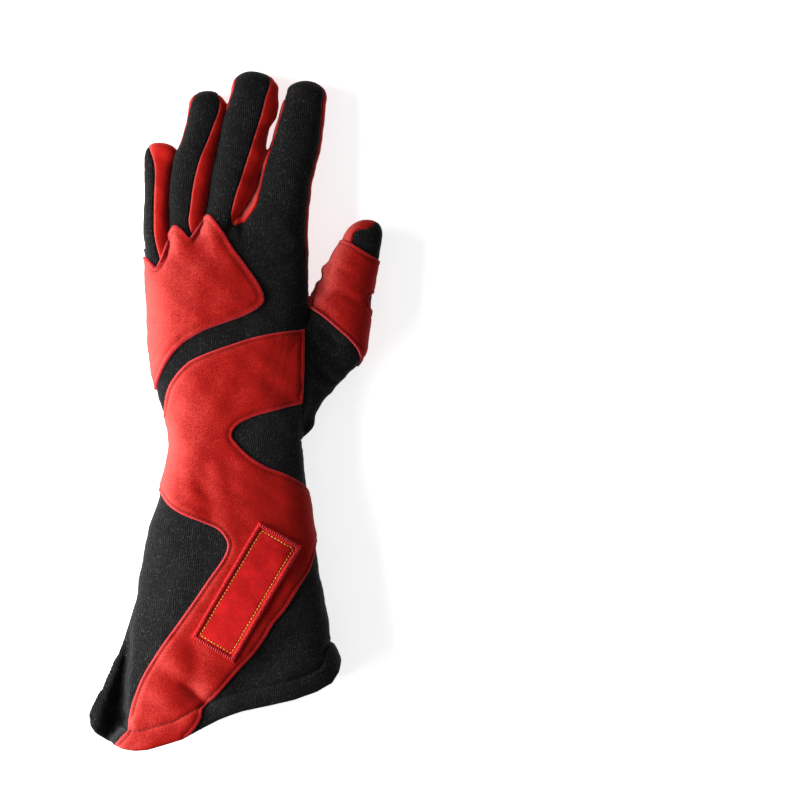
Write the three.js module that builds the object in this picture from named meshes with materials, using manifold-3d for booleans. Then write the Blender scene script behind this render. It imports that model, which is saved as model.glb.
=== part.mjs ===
// Long-cuffed racing glove for the left hand, lying palm down with its back up.
// Millimetres. +Y runs from the cuff to the fingertips, +X to the thumb, +Z up from the surface
// that the glove lies on. The origin is on that surface, under the middle of the glove.
//
// Every limb of the glove, the hand with its cuff, four fingers and a thumb, is a loft through
// a short table of cross sections. The lofts joined, less the same lofts drawn in by the wall,
// are one hollow wall of cloth. Outlines drawn in plan then cut that wall into its sewn pieces,
// and the suede overlays are cut from a second skin just outside it.

import * as THREE from 'three';
import { mergeVertices } from 'three/addons/utils/BufferGeometryUtils.js';
import Module from 'manifold-3d';

const wasm = await Module();
wasm.setup();

// Thicknesses and gaps

const clothWall = 1.9;
const hemWall = 3.4;
const seamGap = 0.3;
const overlayGap = 0.3;
const overlayThickness = 1.2;
const overlayAboveSeam = 2.5;
const badgeThickness = 0.9;
const mouthRunOut = 12;

// Section shape: exponent of the section's rounding, 1 for an ellipse and 0 for a rectangle

const sectionRoundness = 0.84;
const handSides = { outside: 24, inside: 14 };
const fingerSides = { outside: 10, inside: 6 };
const thumbSides = { outside: 12, inside: 6 };
const tipAngles = [32, 64];
const outlineStep = 18;

// Limits for the cutting tools, well outside the glove

const aboveAll = 90;
const belowAll = -30;
const besideAll = 130;
const beyondHem = -215;
const beyondTips = 198;

// The wrist's elastic gathers on the palm side, and the fold in the cuff on the little-finger side

const gathers = { y: -21, reach: 13, depth: 1.3, count: 7 };
const cuffFold = { startY: -104, endY: -158, x: -60, width: 10, drop: 0.5 };

// Height of the widest line of the glove, where its back and palm are sewn together

const seamLine = [
  { y: -215, z: 21 },
  { y: -110, z: 20 },
  { y: -60, z: 18 },
  { y: -20, z: 17.5 },
  { y: 30, z: 16 },
  { y: 90, z: 15.5 },
  { y: 125, z: 14 },
  { y: 150, z: 11.5 },
  { y: 180, z: 9 },
  { y: 215, z: 8.5 },
];

// Cross sections. left and right are the section's ends in plan, top and bottom its heights,
// rest the height that its underside is flattened to, wall its own thickness of cloth, and bow
// how far the back of an open end runs on past the straight line from left to right.

const hand = {
  sides: handSides,
  tip: 6,
  rows: [
    { left: [-82, -171.5], right: [59, -142], top: 41, bottom: -1.5, rest: 0, wall: hemWall, bow: [29, 13] },
    { left: [-78, -162.5], right: [57.5, -132.5], top: 41.5, bottom: -1.5, rest: 0, wall: hemWall, bow: [23, 10] },
    { left: [-75.5, -157], right: [56, -128.5], top: 41.5, bottom: -1.5, rest: 0, bow: [19, 8] },
    { left: [-65, -136], right: [53.5, -120], top: 41.5, bottom: -1.5, rest: 0, bow: [10, 5] },
    { left: [-55, -106], right: [49.3, -100], top: 41, bottom: -1.5, rest: 0 },
    { left: [-48, -68], right: [43.7, -66], top: 38.6, bottom: 0.4, rest: 0 },
    { left: [-40.5, -39], right: [38.5, -38], top: 36, bottom: 3.4, rest: 0 },
    { left: [-37.8, -27], right: [36.5, -27], top: 34.6, bottom: 4.6, rest: 0 },
    { left: [-37, -19.5], right: [36, -20.5], top: 34, bottom: 5, rest: 0 },
    { left: [-37.7, -11], right: [36.7, -12], top: 34, bottom: 4.5, rest: 0 },
    { left: [-40.5, 1], right: [38, 0], top: 34.5, bottom: 3, rest: 1.5 },
    { left: [-46, 20], right: [38.6, 20], top: 36, bottom: 0.8, rest: 1.5 },
    { left: [-49.3, 46], right: [38.9, 46], top: 37, bottom: 0, rest: 1.5 },
    { left: [-50.5, 70], right: [39.5, 74], top: 34.5, bottom: 0.5, rest: 1.5 },
    { left: [-50.5, 80], right: [39.5, 89], top: 30.5, bottom: 3, rest: 1.5 },
    { left: [-48.5, 86.5], right: [38.5, 98.5], top: 26, bottom: 6.5, rest: 1.5 },
  ],
};

const littleFinger = {
  sides: fingerSides,
  tip: 7.5,
  rows: [
    { left: [-47, 72], right: [-34, 72], top: 24, bottom: 9, rest: 0 },
    { left: [-50.3, 84], right: [-35.2, 86], top: 26.5, bottom: 5.5, rest: 0 },
    { left: [-51, 103], right: [-36.9, 103], top: 25, bottom: 5, rest: 0 },
    { left: [-51, 126], right: [-36.8, 126], top: 22, bottom: 3, rest: 0 },
    { left: [-49.8, 141], right: [-35.4, 142], top: 18, bottom: -0.4, rest: 0 },
  ],
};

const ringFinger = {
  sides: fingerSides,
  tip: 9,
  rows: [
    { left: [-34, 72], right: [-17.5, 74], top: 30.5, bottom: 6, rest: 0 },
    { left: [-35.4, 104], right: [-18.6, 104], top: 28, bottom: 5.5, rest: 0 },
    { left: [-34.8, 129], right: [-16.8, 128], top: 25.5, bottom: 4.5, rest: 0 },
    { left: [-31.8, 146.5], right: [-13, 145.5], top: 22.5, bottom: 2.5, rest: 0 },
    { left: [-26, 170], right: [-6.6, 169.5], top: 18, bottom: -0.6, rest: 0 },
  ],
};

const middleFinger = {
  sides: fingerSides,
  tip: 9,
  rows: [
    { left: [-15.5, 74], right: [4, 76], top: 32, bottom: 5, rest: 0 },
    { left: [-17.2, 106], right: [3, 108], top: 29.5, bottom: 5.5, rest: 0 },
    { left: [-13.6, 132], right: [8, 133], top: 26.8, bottom: 5, rest: 0 },
    { left: [-7.2, 157], right: [17.6, 158], top: 22.5, bottom: 2, rest: 0 },
    { left: [-0.8, 181], right: [22.6, 181.5], top: 18, bottom: -0.6, rest: 0 },
  ],
};

const indexFinger = {
  sides: fingerSides,
  tip: 10.5,
  rows: [
    { left: [6, 74], right: [36, 76], top: 30.5, bottom: 5, rest: 0 },
    { left: [5, 90], right: [39, 93], top: 31, bottom: 4.5, rest: 0 },
    { left: [5, 102], right: [40, 108], top: 30, bottom: 4.5, rest: 0 },
    { left: [11.5, 128], right: [42.5, 131], top: 27.5, bottom: 4.3, rest: 0 },
    { left: [19.3, 153], right: [47.3, 154], top: 23, bottom: 1.7, rest: 0 },
    { left: [27, 174], right: [49.7, 175], top: 18.5, bottom: -0.6, rest: 0 },
  ],
};

const thumb = {
  sides: thumbSides,
  tip: 12.5,
  rows: [
    { left: [14, 4], right: [33.5, -17], top: 20, bottom: 10, rest: 0 },
    { left: [20, 26], right: [46, 0], top: 25.5, bottom: 2, rest: 0 },
    { left: [27.5, 46], right: [61, 18.5], top: 26.5, bottom: -0.2, rest: 0 },
    { left: [36, 60], right: [70.5, 28.5], top: 27, bottom: -0.6, rest: 0 },
    { left: [42.5, 67], right: [74, 43.5], top: 26.5, bottom: -0.4, rest: 0 },
    { left: [51, 78.5], right: [77, 70.5], top: 24.5, bottom: 1.6, rest: 0 },
    { left: [55, 87.5], right: [79.5, 81.5], top: 23.5, bottom: 2, rest: 0 },
    { left: [59, 94], right: [81.2, 91], top: 22.5, bottom: 2.4, rest: 0 },
  ],
};

const limbs = [hand, littleFinger, ringFinger, middleFinger, indexFinger, thumb];

// Seams and edges drawn in plan, each from its crotch or wrist end to its far end. A corner is
// sharp, and an edge runs smoothly through the points of a curve between two corners.

const corner = (x, y) => ({ x, y, sharp: true });
const curve = (...points) => points.map(([x, y]) => ({ x, y, sharp: false }));
const backwards = (edge) => edge.toReversed();

// On the back: the edge of each finger's black strip, and the middle of the gap beside the finger

const littleStripEdge = [
  corner(-42, 84), ...curve([-45.3, 98], [-45.5, 118], [-46, 141]), corner(-49.4, 148),
];
const littleRingGap = [
  corner(-42, 84), ...curve([-36.6, 96], [-36.3, 112], [-35.7, 128], [-33, 143]), corner(-30.5, 160),
];
const ringStripEdge = [
  corner(-24.4, 98.6), ...curve([-26, 105], [-25.5, 116.5], [-19.9, 143.4], [-10, 168]), corner(-8.6, 176),
];
const ringMiddleGap = [
  corner(-24.4, 98.6), ...curve([-18, 105], [-16.6, 123], [-12.6, 141], [-7.6, 159]), corner(-5.4, 167),
  ...curve([-2, 174.7], [0.3, 182.6]), corner(2.5, beyondTips),
];
const middleStripEdge = [
  corner(-1.4, 103.6), ...curve([-2.8, 110], [1.4, 125.4], [7.6, 143.4], [14.3, 170]), corner(19.6, 184),
];
const indexStripEdge = [
  corner(-1.4, 103.6), ...curve([5.9, 107], [11.5, 118], [17.6, 144.5], [24.9, 168]), corner(30, 184),
];

// On the palm: the edges of each finger's front

const littleFrontRight = [
  corner(-36, 86), ...curve([-40, 96], [-40.4, 109], [-40, 123], [-38.5, 141]), corner(-38, 160),
];
const ringFrontLeft = [
  corner(-36, 86), ...curve([-32.4, 98], [-32.6, 114], [-31.6, 130], [-28.4, 146.5]), corner(-22.5, 172),
];
const ringFrontRight = [
  corner(-18.4, 92), ...curve([-21.6, 100], [-21.4, 114], [-20, 130], [-16.2, 145.5]), corner(-9.5, 170),
];
const middleFrontLeft = [
  corner(-18.4, 92), ...curve([-15, 105], [-12.8, 123], [-9, 140], [-4.2, 157]), corner(2, 184),
];
const middleFrontRight = [
  corner(3.5, 97), ...curve([0.8, 108], [2.8, 124.5], [8.6, 141], [14.6, 158]), corner(20.2, 180),
];
const indexFrontLeft = [
  corner(3.5, 97), ...curve([9.4, 107], [13, 121], [17.6, 139], [22.8, 154]), corner(30, 178),
];

// Round the thumb: its seam with the hand's back, the edge between its own back and front above
// and below, and the keystone seam that joins its front to the palm

const thumbCrotch = corner(41, 62);
const thumbOpening = [corner(43.5, 80), corner(47, 108), corner(58, 120)];
const thumbSideFoot = [corner(36.6, -17), ...curve([37.4, 4.5]), corner(38.6, 18)];
const thumbSideSeam = [...thumbSideFoot, ...curve([39.2, 45]), thumbCrotch];
const thumbUpperEdge = [
  thumbCrotch, ...curve([50, 70], [57, 79.5], [63, 90], [66.5, 98.3], [71.7, 101.5]), corner(79, 106),
];
const thumbRootEdge = [corner(6, -17), ...curve([8.6, 0.7]), corner(11, 8)];
const thumbUnderEdge = [
  corner(11, 8), ...curve([19.5, 22.5], [31, 34], [43, 45], [53, 60], [61, 76], [67, 90]), corner(73, 118),
];
const keystoneSeam = [corner(11, 8), ...curve([5, 24], [4.2, 40], [8, 55], [17, 64.3], [30, 66]), thumbCrotch];
const wristSeam = [corner(-besideAll, -14), corner(-38, -14), corner(6, -17), corner(besideAll, -17)];

// Joins that the wave panel, the knuckle panel and the palm patch lie over
const underWave = [corner(-besideAll, -24), corner(-45, -24), ...curve([-22, -7], [6, 11]), corner(38.6, 18)];
const littleRoots = { back: [corner(-62, 76), corner(-44, 76)], front: [corner(-62, 86)] };
const indexRoot = corner(43.5, 80);

// Outlines of the sewn pieces, from those edges

const past = (edge, x = edge.at(-1).x) => corner(x, beyondTips);
const indexSide = [corner(56, beyondTips), corner(56, 150), corner(47, 108), indexRoot];
const [littleRingCrotch, ringMiddleCrotch, middleIndexCrotch] = [littleRingGap, ringMiddleGap, indexStripEdge]
  .map((edge) => edge[0]);

const outlines = {
  back: [
    corner(-besideAll, -24), corner(-62, 0), ...littleRoots.back, littleRingCrotch, ringMiddleCrotch,
    middleIndexCrotch, ...indexStripEdge.slice(1), past(indexStripEdge), ...indexSide,
    thumbCrotch, ...curve([39.2, 45]), ...backwards(underWave).slice(0, -1),
  ],
  cuffBack: [
    corner(-besideAll, beyondHem), ...underWave, ...backwards(thumbSideFoot).slice(1), corner(besideAll, -17),
    corner(besideAll, beyondHem),
  ],
  littleBack: [...littleRoots.back, ...littleStripEdge, corner(-49.4, 160), corner(-62, 160)],
  ringBack: [...littleRingGap, past(littleRingGap, -24), past(ringStripEdge), ...backwards(ringStripEdge)],
  middleBack: [...ringMiddleGap, past(middleStripEdge), ...backwards(middleStripEdge)],
  palm: [
    corner(-62, -14), ...littleRoots.front, littleFrontRight[0], ringFrontRight[0], middleFrontRight[0],
    indexRoot, ...backwards(keystoneSeam), ...backwards(thumbRootEdge).slice(1), corner(-38, -14),
  ],
  littleFront: [...littleRoots.front, ...littleFrontRight, corner(-38, 170), corner(-62, 170)],
  ringFront: [...ringFrontLeft, past(ringFrontLeft), past(ringFrontRight), ...backwards(ringFrontRight)],
  middleFront: [
    ...middleFrontLeft, past(middleFrontLeft), past(middleFrontRight), ...backwards(middleFrontRight),
  ],
  indexFront: [...indexFrontLeft, past(indexFrontLeft), ...indexSide],
  cuffFront: [...wristSeam, corner(besideAll, beyondHem), corner(-besideAll, beyondHem)],
  thumbBack: {
    upper: [...thumbSideSeam, ...thumbUpperEdge.slice(1), corner(95, 108), corner(95, -17)],
    lower: [...thumbRootEdge, ...thumbUnderEdge.slice(1), corner(95, 118), corner(95, -17)],
  },
  thumbFront: {
    upper: [...thumbUpperEdge, corner(79, 120), ...backwards(thumbOpening)],
    lower: [...keystoneSeam, ...thumbOpening, ...backwards(thumbUnderEdge).slice(0, -1)],
  },
  littleRing: {
    upper: [...littleStripEdge, corner(-49.4, 158), ...backwards(littleRingGap).slice(0, -1)],
    lower: [
      ...littleFrontRight, corner(-31, 160), corner(-24, 190), ...backwards(ringFrontLeft).slice(0, -1),
    ],
  },
  ringMiddle: {
    upper: [...ringStripEdge, past(ringStripEdge), ...backwards(ringMiddleGap).slice(0, -1)],
    lower: [
      ...ringFrontRight, past(ringFrontRight), past(middleFrontLeft),
      ...backwards(middleFrontLeft).slice(0, -1),
    ],
  },
  middleIndex: {
    upper: [
      ...middleStripEdge, past(middleStripEdge), past(indexStripEdge),
      ...backwards(indexStripEdge).slice(0, -1),
    ],
    lower: [
      ...middleFrontRight, past(middleFrontRight), past(indexFrontLeft),
      ...backwards(indexFrontLeft).slice(0, -1),
    ],
  },
};

// Outlines of the overlays

const knuckleScallops = [
  corner(-62, 92), ...curve([-51.1, 86.2]), corner(-43.6, 79.6), ...curve([-37.9, 97.7], [-34, 103.6]),
  corner(-25.5, 96.3), ...curve([-20.2, 104.6], [-15, 109.4], [-9.4, 104.7]),
];
const knuckleLowerEdge = [
  ...curve([-1.4, 89.2], [11.2, 72.6], [16.4, 64], [16, 58.6], [10.1, 54.9], [-7.1, 48.4], [-26.6, 39.3]),
  ...curve([-42, 19]), corner(-44.5, 10), corner(-62, 8),
];

const waveHandEdge = [
  corner(38.6, 44.8), ...curve([15.8, 39.9], [-7.1, 33], [-23.1, 26.2], [-34.5, 17.6], [-38.8, 7]),
  corner(-39.5, -5), corner(-62, -8), corner(-62, -38), corner(-41, -40),
];
const waveOuterCuffEdge = [
  ...curve([-42.2, -45.5], [-36.8, -52.6], [-20.8, -61.8], [-7.1, -67.5], [-2.5, -75], [-6.8, -84.9]),
  ...curve([-24, -107.7], [-43.4, -134.1], [-53.6, -156], [-58.9, -175]), corner(-70, -188),
];
const waveInnerCuffEdge = [
  corner(-30, beyondHem), corner(-29.7, -183.4), ...curve([-19.4, -172.9]), corner(-17.1, -166),
  ...curve([-1.1, -148.9], [16, -128.2], [30.9, -106.6], [41, -89]), corner(46, -80), corner(58, -76),
];
const waveBay = [
  corner(58, -54), corner(43, -50.6), ...curve([30.6, -38.4], [15.8, -31.5], [4.4, -23.5], [-0.8, -14]),
  ...curve([2.6, -6.4], [15.8, -1.2], [31.8, 2.2]), corner(37, 4.5), ...curve([38.1, 20]),
];

const palmScallops = [
  corner(-55, 88), ...curve([-48, 92], [-43.5, 93.5]), corner(-36, 83), ...curve([-31, 92], [-26, 102.5]),
  corner(-18.4, 87.5), ...curve([-11, 97], [-5.5, 105.5]), corner(3.2, 90),
  ...curve([12, 101], [21, 107], [30, 100]), corner(36, 88),
];
const palmPatchLowerEdge = [
  ...curve([37, 78]), corner(33, 69), ...curve([15, 68.8], [6, 66.5], [0, 58], [-3.4, 41.6], [-6.4, 26]),
  ...curve([-13.9, 15.7], [-27, 10], [-38.5, 10.5]), corner(-46, 17), corner(-55, 20),
];

const overlayOutlines = {
  knucklePanel: [...knuckleScallops, ...knuckleLowerEdge],
  wavePanel: [
    ...waveHandEdge, ...waveOuterCuffEdge, corner(-76, beyondHem), ...waveInnerCuffEdge, ...waveBay,
  ],
  palmPatch: [...palmScallops, ...palmPatchLowerEdge],
  thumbPanel: {
    upper: [
      corner(52, 97), corner(58.5, 95), ...curve([63, 94.6], [70.4, 89.9]), corner(80, 83.8),
      corner(95, 78), corner(95, 68), corner(78.5, 66.4), ...curve([74.4, 63.5], [74.2, 59]),
      corner(77, 53), corner(95, 50), corner(95, 22), corner(69.4, 23),
      ...curve([69.9, 30], [67.1, 37.2], [56.3, 46.3], [48.4, 52.6]), corner(41.6, 59),
    ],
    lower: [
      corner(95, 83), corner(76, 83), ...curve([70.5, 80], [69, 74], [71, 68]), corner(77, 65),
      corner(82, 59.5), corner(77, 55), ...curve([69.5, 51], [66, 41], [66, 33]), corner(68, 24),
      corner(95, 22),
    ],
  },
};

// The badge: a plain rectangle on the cuff, turned in plan

const badge = { x: 6.6, y: -101.4, width: 27.6, length: 75, turn: -30.4 };

// Small helpers

const mix = (a, b, t) => a + (b - a) * t;
const mixPoint = (a, b, t) => [mix(a[0], b[0], t), mix(a[1], b[1], t)];
const clamp = (v, low, high) => Math.min(high, Math.max(low, v));
const ease = (t) => THREE.MathUtils.smoothstep(t, 0, 1);
const signedPower = (v, power) => Math.sign(v) * Math.abs(v) ** power;
const radians = THREE.MathUtils.degToRad;

function seamHeight(y) {
  const i = Math.max(1, seamLine.findIndex((point) => point.y > y));
  const [a, b] = [seamLine[i - 1], seamLine[i]];
  return mix(a.z, b.z, clamp((y - a.y) / (b.y - a.y), 0, 1));
}

// How far the cloth is drawn in by the wrist's gathers at a point of a section

function gatherDepth(y, angle) {
  const palmSide = ease(-Math.sin(angle) * 2);
  const near = Math.max(0, 1 - Math.abs(y - gathers.y) / gathers.reach);
  return gathers.depth * near * palmSide * (0.5 + 0.5 * Math.cos(2 * gathers.count * angle));
}

// The share of its height that the back of the cuff loses beyond the fold

function foldDrop(x, y) {
  const along = ease((cuffFold.startY - y) / (cuffFold.startY - cuffFold.endY));
  return cuffFold.drop * along * ease((cuffFold.x - x) / cuffFold.width + 0.5);
}

// One ring of points for a section, grown outwards by grow (inwards where it is negative)

function sectionRing(row, sides, grow) {
  const left = new THREE.Vector2(...row.left);
  const right = new THREE.Vector2(...row.right);
  const across = right.clone().sub(left).normalize();
  const centre = left.clone().add(right).multiplyScalar(0.5);
  const halfWidth = left.distanceTo(right) / 2 + grow;
  const seam = seamHeight(centre.y);
  const top = row.top + grow - seam;
  const bottom = seam - (row.bottom - grow);
  const bow = row.bow ?? [0, 0];
  const ring = [];
  for (let k = 0; k < sides; k += 1) {
    const angle = (2 * Math.PI * k) / sides;
    const u = signedPower(Math.cos(angle), sectionRoundness);
    const v = signedPower(Math.sin(angle), sectionRoundness);
    const run = mix(bow[0], bow[1], (u + 1) / 2) * Math.abs(v) ** 0.7 * (v < 0 ? 0.85 : 1);
    const x = centre.x + across.x * u * halfWidth + across.y * run;
    const y = centre.y + across.y * u * halfWidth - across.x * run;
    const drop = foldDrop(x - across.x * u * grow, y - across.y * u * grow);
    const rise = v > 0 ? top * v * (1 - drop) : bottom * v + gatherDepth(centre.y, angle);
    ring.push(new THREE.Vector3(x, y, Math.max(seam + rise, row.rest - grow)));
  }
  return ring;
}

// Rows that close a limb's end in a quarter ellipse, as long as tip

function tipRows(rows, tip) {
  const last = rows.at(-1);
  const before = rows.at(-2);
  const centre = new THREE.Vector2(...mixPoint(last.left, last.right, 0.5));
  const ahead = centre.clone().sub(new THREE.Vector2(...mixPoint(before.left, before.right, 0.5))).normalize();
  return tipAngles.map((degrees) => {
    const shrink = Math.cos(radians(degrees));
    const moved = centre.clone().addScaledVector(ahead, Math.sin(radians(degrees)) * tip);
    const drawIn = ([x, y]) => [moved.x + (x - centre.x) * shrink, moved.y + (y - centre.y) * shrink];
    const level = seamHeight(moved.y);
    return {
      ...last,
      left: drawIn(last.left),
      right: drawIn(last.right),
      top: mix(level, last.top, shrink),
      bottom: mix(level, last.bottom, shrink),
    };
  });
}

// A solid from points and triangles, faces turned outwards

function solid(points, triangles) {
  const volume = triangles.reduce(
    (sum, [a, b, c]) => sum + points[a].dot(points[b].clone().cross(points[c])), 0);
  const outwards = volume > 0 ? triangles : triangles.map(([a, b, c]) => [a, c, b]);
  return new wasm.Manifold(new wasm.Mesh({
    numProp: 3,
    vertProperties: Float32Array.from(points.flatMap((p) => [p.x, p.y, p.z])),
    triVerts: Uint32Array.from(outwards.flat()),
  }));
}

// A closed solid from rings of points, each end closed by a fan round its middle

function solidFromRings(rings) {
  const sides = rings[0].length;
  const points = rings.flat();
  const middleOf = (ring) => ring.reduce((sum, p) => sum.add(p), new THREE.Vector3()).divideScalar(sides);
  const start = points.push(middleOf(rings[0])) - 1;
  const end = points.push(middleOf(rings.at(-1))) - 1;
  const lastRing = (rings.length - 1) * sides;
  const triangles = [];
  for (let k = 0; k < sides; k += 1) {
    const next = (k + 1) % sides;
    triangles.push([start, k, next], [end, lastRing + next, lastRing + k]);
    for (let r = 0; r < rings.length - 1; r += 1) {
      const [a, b] = [r * sides + k, r * sides + next];
      triangles.push([a, a + sides, b], [b, a + sides, b + sides]);
    }
  }
  return solid(points, triangles);
}

// A limb's solid, grown outwards by grow; runOut carries its open end on past its first row

function limbSolid(limb, grow, runOut = 0) {
  const sides = grow < 0 ? limb.sides.inside : limb.sides.outside;
  const rows = [...limb.rows, ...tipRows(limb.rows, limb.tip + grow)];
  const rings = rows.map((row) => sectionRing(row, sides, grow < 0 ? -(row.wall ?? -grow) : grow));
  if (runOut > 0) {
    const [first, second] = rings;
    rings.unshift(first.map((p, k) => p.clone().sub(second[k]).setZ(0).setLength(runOut).add(p)));
  }
  return solidFromRings(rings);
}

// The whole glove's form, grown outwards by grow

function gloveSolid(grow, runOut = 0) {
  const [handLimb, ...others] = limbs;
  return others.reduce((sum, limb) => sum.add(limbSolid(limb, grow)), limbSolid(handLimb, grow, runOut));
}

// A skin of the glove between two distances outside its form

function skinSolid(from, to) {
  return gloveSolid(to).subtract(gloveSolid(from, mouthRunOut));
}

// A closed plan outline: straight to and from its corners, a Catmull-Rom curve between them

function planOutline(points) {
  const firstCorner = points.findIndex((point) => point.sharp);
  const turned = [...points.slice(firstCorner), ...points.slice(0, firstCorner + 1)];
  const outline = [];
  let run = [turned[0]];
  for (const point of turned.slice(1)) {
    run.push(point);
    if (point.sharp) {
      const ends = run.map((p) => new THREE.Vector3(p.x, p.y, 0));
      const spline = new THREE.CatmullRomCurve3(ends, false, 'centripetal');
      const fineSteps = Math.max(run.length - 1, Math.round(spline.getLength() / outlineStep));
      const spaced = spline.getSpacedPoints(run.length === 2 ? 1 : fineSteps);
      outline.push(...spaced.slice(0, -1).map((p) => new THREE.Vector2(p.x, p.y)));
      run = [point];
    }
  }
  return outline;
}

// The outline drawn in by inset on every side

function drawnIn(outline, inset) {
  const points = THREE.ShapeUtils.isClockWise(outline) ? outline.toReversed() : outline;
  return points.map((point, i) => {
    const before = point.clone().sub(points.at(i - 1)).normalize();
    const after = points[(i + 1) % points.length].clone().sub(point).normalize();
    const inwards = new THREE.Vector2(-before.y - after.y, before.x + after.x).normalize();
    const spread = Math.max(0.4, inwards.dot(new THREE.Vector2(-before.y, before.x)));
    return point.clone().addScaledVector(inwards, inset / spread);
  });
}

// A geometry's solid, once its shared vertices are merged

function solidOf(geometry) {
  geometry.deleteAttribute('normal');
  geometry.deleteAttribute('uv');
  const merged = mergeVertices(geometry, 1e-4);
  const at = merged.getAttribute('position');
  const points = Array.from({ length: at.count }, (_, i) => new THREE.Vector3().fromBufferAttribute(at, i));
  const triangles = [];
  for (let i = 0; i < merged.index.count; i += 3) {
    triangles.push([0, 1, 2].map((side) => merged.index.getX(i + side)));
  }
  return solid(points, triangles);
}

// An upright tool with a plan outline

function uprightTool(plan, inset = seamGap / 2) {
  const shape = new THREE.Shape(drawnIn(planOutline(plan), inset));
  const depth = aboveAll - belowAll;
  const geometry = new THREE.ExtrudeGeometry(shape, { depth, bevelEnabled: false, steps: 1 });
  geometry.translate(0, 0, belowAll);
  return solidOf(geometry);
}

// Everything above or below the line on which back and palm meet, lifted by lift

function halfTool(above, lift) {
  const edge = seamLine.map((point) => new THREE.Vector2(point.y, point.z + lift));
  const far = above ? aboveAll : belowAll;
  const shape = new THREE.Shape([
    ...edge, new THREE.Vector2(edge.at(-1).x, far), new THREE.Vector2(edge[0].x, far),
  ]);
  const geometry = new THREE.ExtrudeGeometry(shape, { depth: 2 * besideAll, bevelEnabled: false, steps: 1 });
  geometry.translate(0, 0, -besideAll);
  geometry.applyMatrix4(new THREE.Matrix4().makeBasis(
    new THREE.Vector3(0, 1, 0), new THREE.Vector3(0, 0, 1), new THREE.Vector3(1, 0, 0)));
  return solidOf(geometry);
}

// What every piece is cut from

const wall = gloveSolid(0).subtract(gloveSolid(-clothWall, mouthRunOut));
const overlaySkin = skinSolid(overlayGap, overlayGap + overlayThickness);
const badgeBase = 2 * overlayGap + overlayThickness;
const badgeSkin = skinSolid(badgeBase, badgeBase + badgeThickness);

const upperHalf = halfTool(true, seamGap / 2);
const lowerHalf = halfTool(false, -seamGap / 2);
const seamBand = halfTool(true, -seamGap / 2 - 0.02).intersect(halfTool(false, seamGap / 2 + 0.02));
const overlayUpperHalf = halfTool(true, overlayAboveSeam);
const overlayLowerHalf = halfTool(false, -overlayAboveSeam);

// A piece that lies on one half of the glove

function flatPiece(from, plan, half, inset) {
  return from.intersect(uprightTool(plan, inset)).intersect(half);
}

// A piece that turns over the side of the glove, from its outline on each half

function turnedPiece(from, { upper, lower }) {
  const above = from.intersect(uprightTool(upper));
  const below = from.intersect(uprightTool(lower));
  const shared = above.intersect(below).intersect(seamBand);
  return above.intersect(upperHalf).add(below.intersect(lowerHalf)).add(shared);
}

const badgeOutline = [[-1, -1], [1, -1], [1, 1], [-1, 1]].map(([u, v]) => {
  const at = new THREE.Vector2((u * badge.width) / 2, (v * badge.length) / 2);
  at.rotateAround(new THREE.Vector2(), radians(badge.turn));
  return corner(badge.x + at.x, badge.y + at.y);
});

// Materials

const cloth = (color, roughness) => new THREE.MeshStandardMaterial({ color, roughness, metalness: 0 });
const blackKnit = () => cloth(0x1b1b1c, 0.95);
const redSuede = () => cloth(0xc0201c, 0.92);
const blackSuede = () => cloth(0x121212, 0.96);
const redTwill = () => cloth(0xcf1717, 0.8);

// The pieces of the glove

const pieces = {
  back: [flatPiece(wall, outlines.back, upperHalf), blackKnit()],
  cuff_back: [flatPiece(wall, outlines.cuffBack, upperHalf), blackKnit()],
  little_back: [flatPiece(wall, outlines.littleBack, upperHalf), blackKnit()],
  ring_back: [flatPiece(wall, outlines.ringBack, upperHalf), blackKnit()],
  middle_back: [flatPiece(wall, outlines.middleBack, upperHalf), blackKnit()],
  palm: [flatPiece(wall, outlines.palm, lowerHalf), redSuede()],
  little_front: [flatPiece(wall, outlines.littleFront, lowerHalf), redSuede()],
  ring_front: [flatPiece(wall, outlines.ringFront, lowerHalf), redSuede()],
  middle_front: [flatPiece(wall, outlines.middleFront, lowerHalf), redSuede()],
  index_front: [flatPiece(wall, outlines.indexFront, lowerHalf), redSuede()],
  cuff_front: [flatPiece(wall, outlines.cuffFront, lowerHalf), blackKnit()],
  fourchette_little_ring: [turnedPiece(wall, outlines.littleRing), redSuede()],
  fourchette_ring_middle: [turnedPiece(wall, outlines.ringMiddle), redSuede()],
  fourchette_middle_index: [turnedPiece(wall, outlines.middleIndex), redSuede()],
  thumb_back: [turnedPiece(wall, outlines.thumbBack), blackKnit()],
  thumb_front: [turnedPiece(wall, outlines.thumbFront), redSuede()],
  knuckle_panel: [flatPiece(overlaySkin, overlayOutlines.knucklePanel, overlayUpperHalf), redSuede()],
  wave_panel: [flatPiece(overlaySkin, overlayOutlines.wavePanel, overlayUpperHalf), redSuede()],
  thumb_panel: [turnedPiece(overlaySkin, overlayOutlines.thumbPanel), redSuede()],
  palm_patch: [flatPiece(overlaySkin, overlayOutlines.palmPatch, overlayLowerHalf), blackSuede()],
  badge: [flatPiece(badgeSkin, badgeOutline, overlayUpperHalf, 0), redTwill()],
};

// The largest connected body of a solid as a geometry: where two limbs meet, cuts leave crumbs

function geometryOf(piece) {
  const { vertProperties, triVerts } = piece.getMesh();
  const parents = Array.from({ length: vertProperties.length / 3 }, (_, i) => i);
  const rootOf = (i) => {
    let root = i;
    while (parents[root] !== root) root = parents[root];
    parents[i] = root;
    return root;
  };
  const triangles = [];
  for (let t = 0; t < triVerts.length; t += 3) {
    const [a, b, c] = triVerts.slice(t, t + 3);
    parents[rootOf(a)] = rootOf(b);
    parents[rootOf(b)] = rootOf(c);
    triangles.push([a, b, c]);
  }
  const bodies = Map.groupBy(triangles, ([a]) => rootOf(a));
  const [largest] = [...bodies.values()].sort((one, other) => other.length - one.length);
  const geometry = new THREE.BufferGeometry();
  geometry.setAttribute('position', new THREE.BufferAttribute(Float32Array.from(vertProperties), 3));
  geometry.setIndex(largest.flat());
  return geometry;
}

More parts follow.
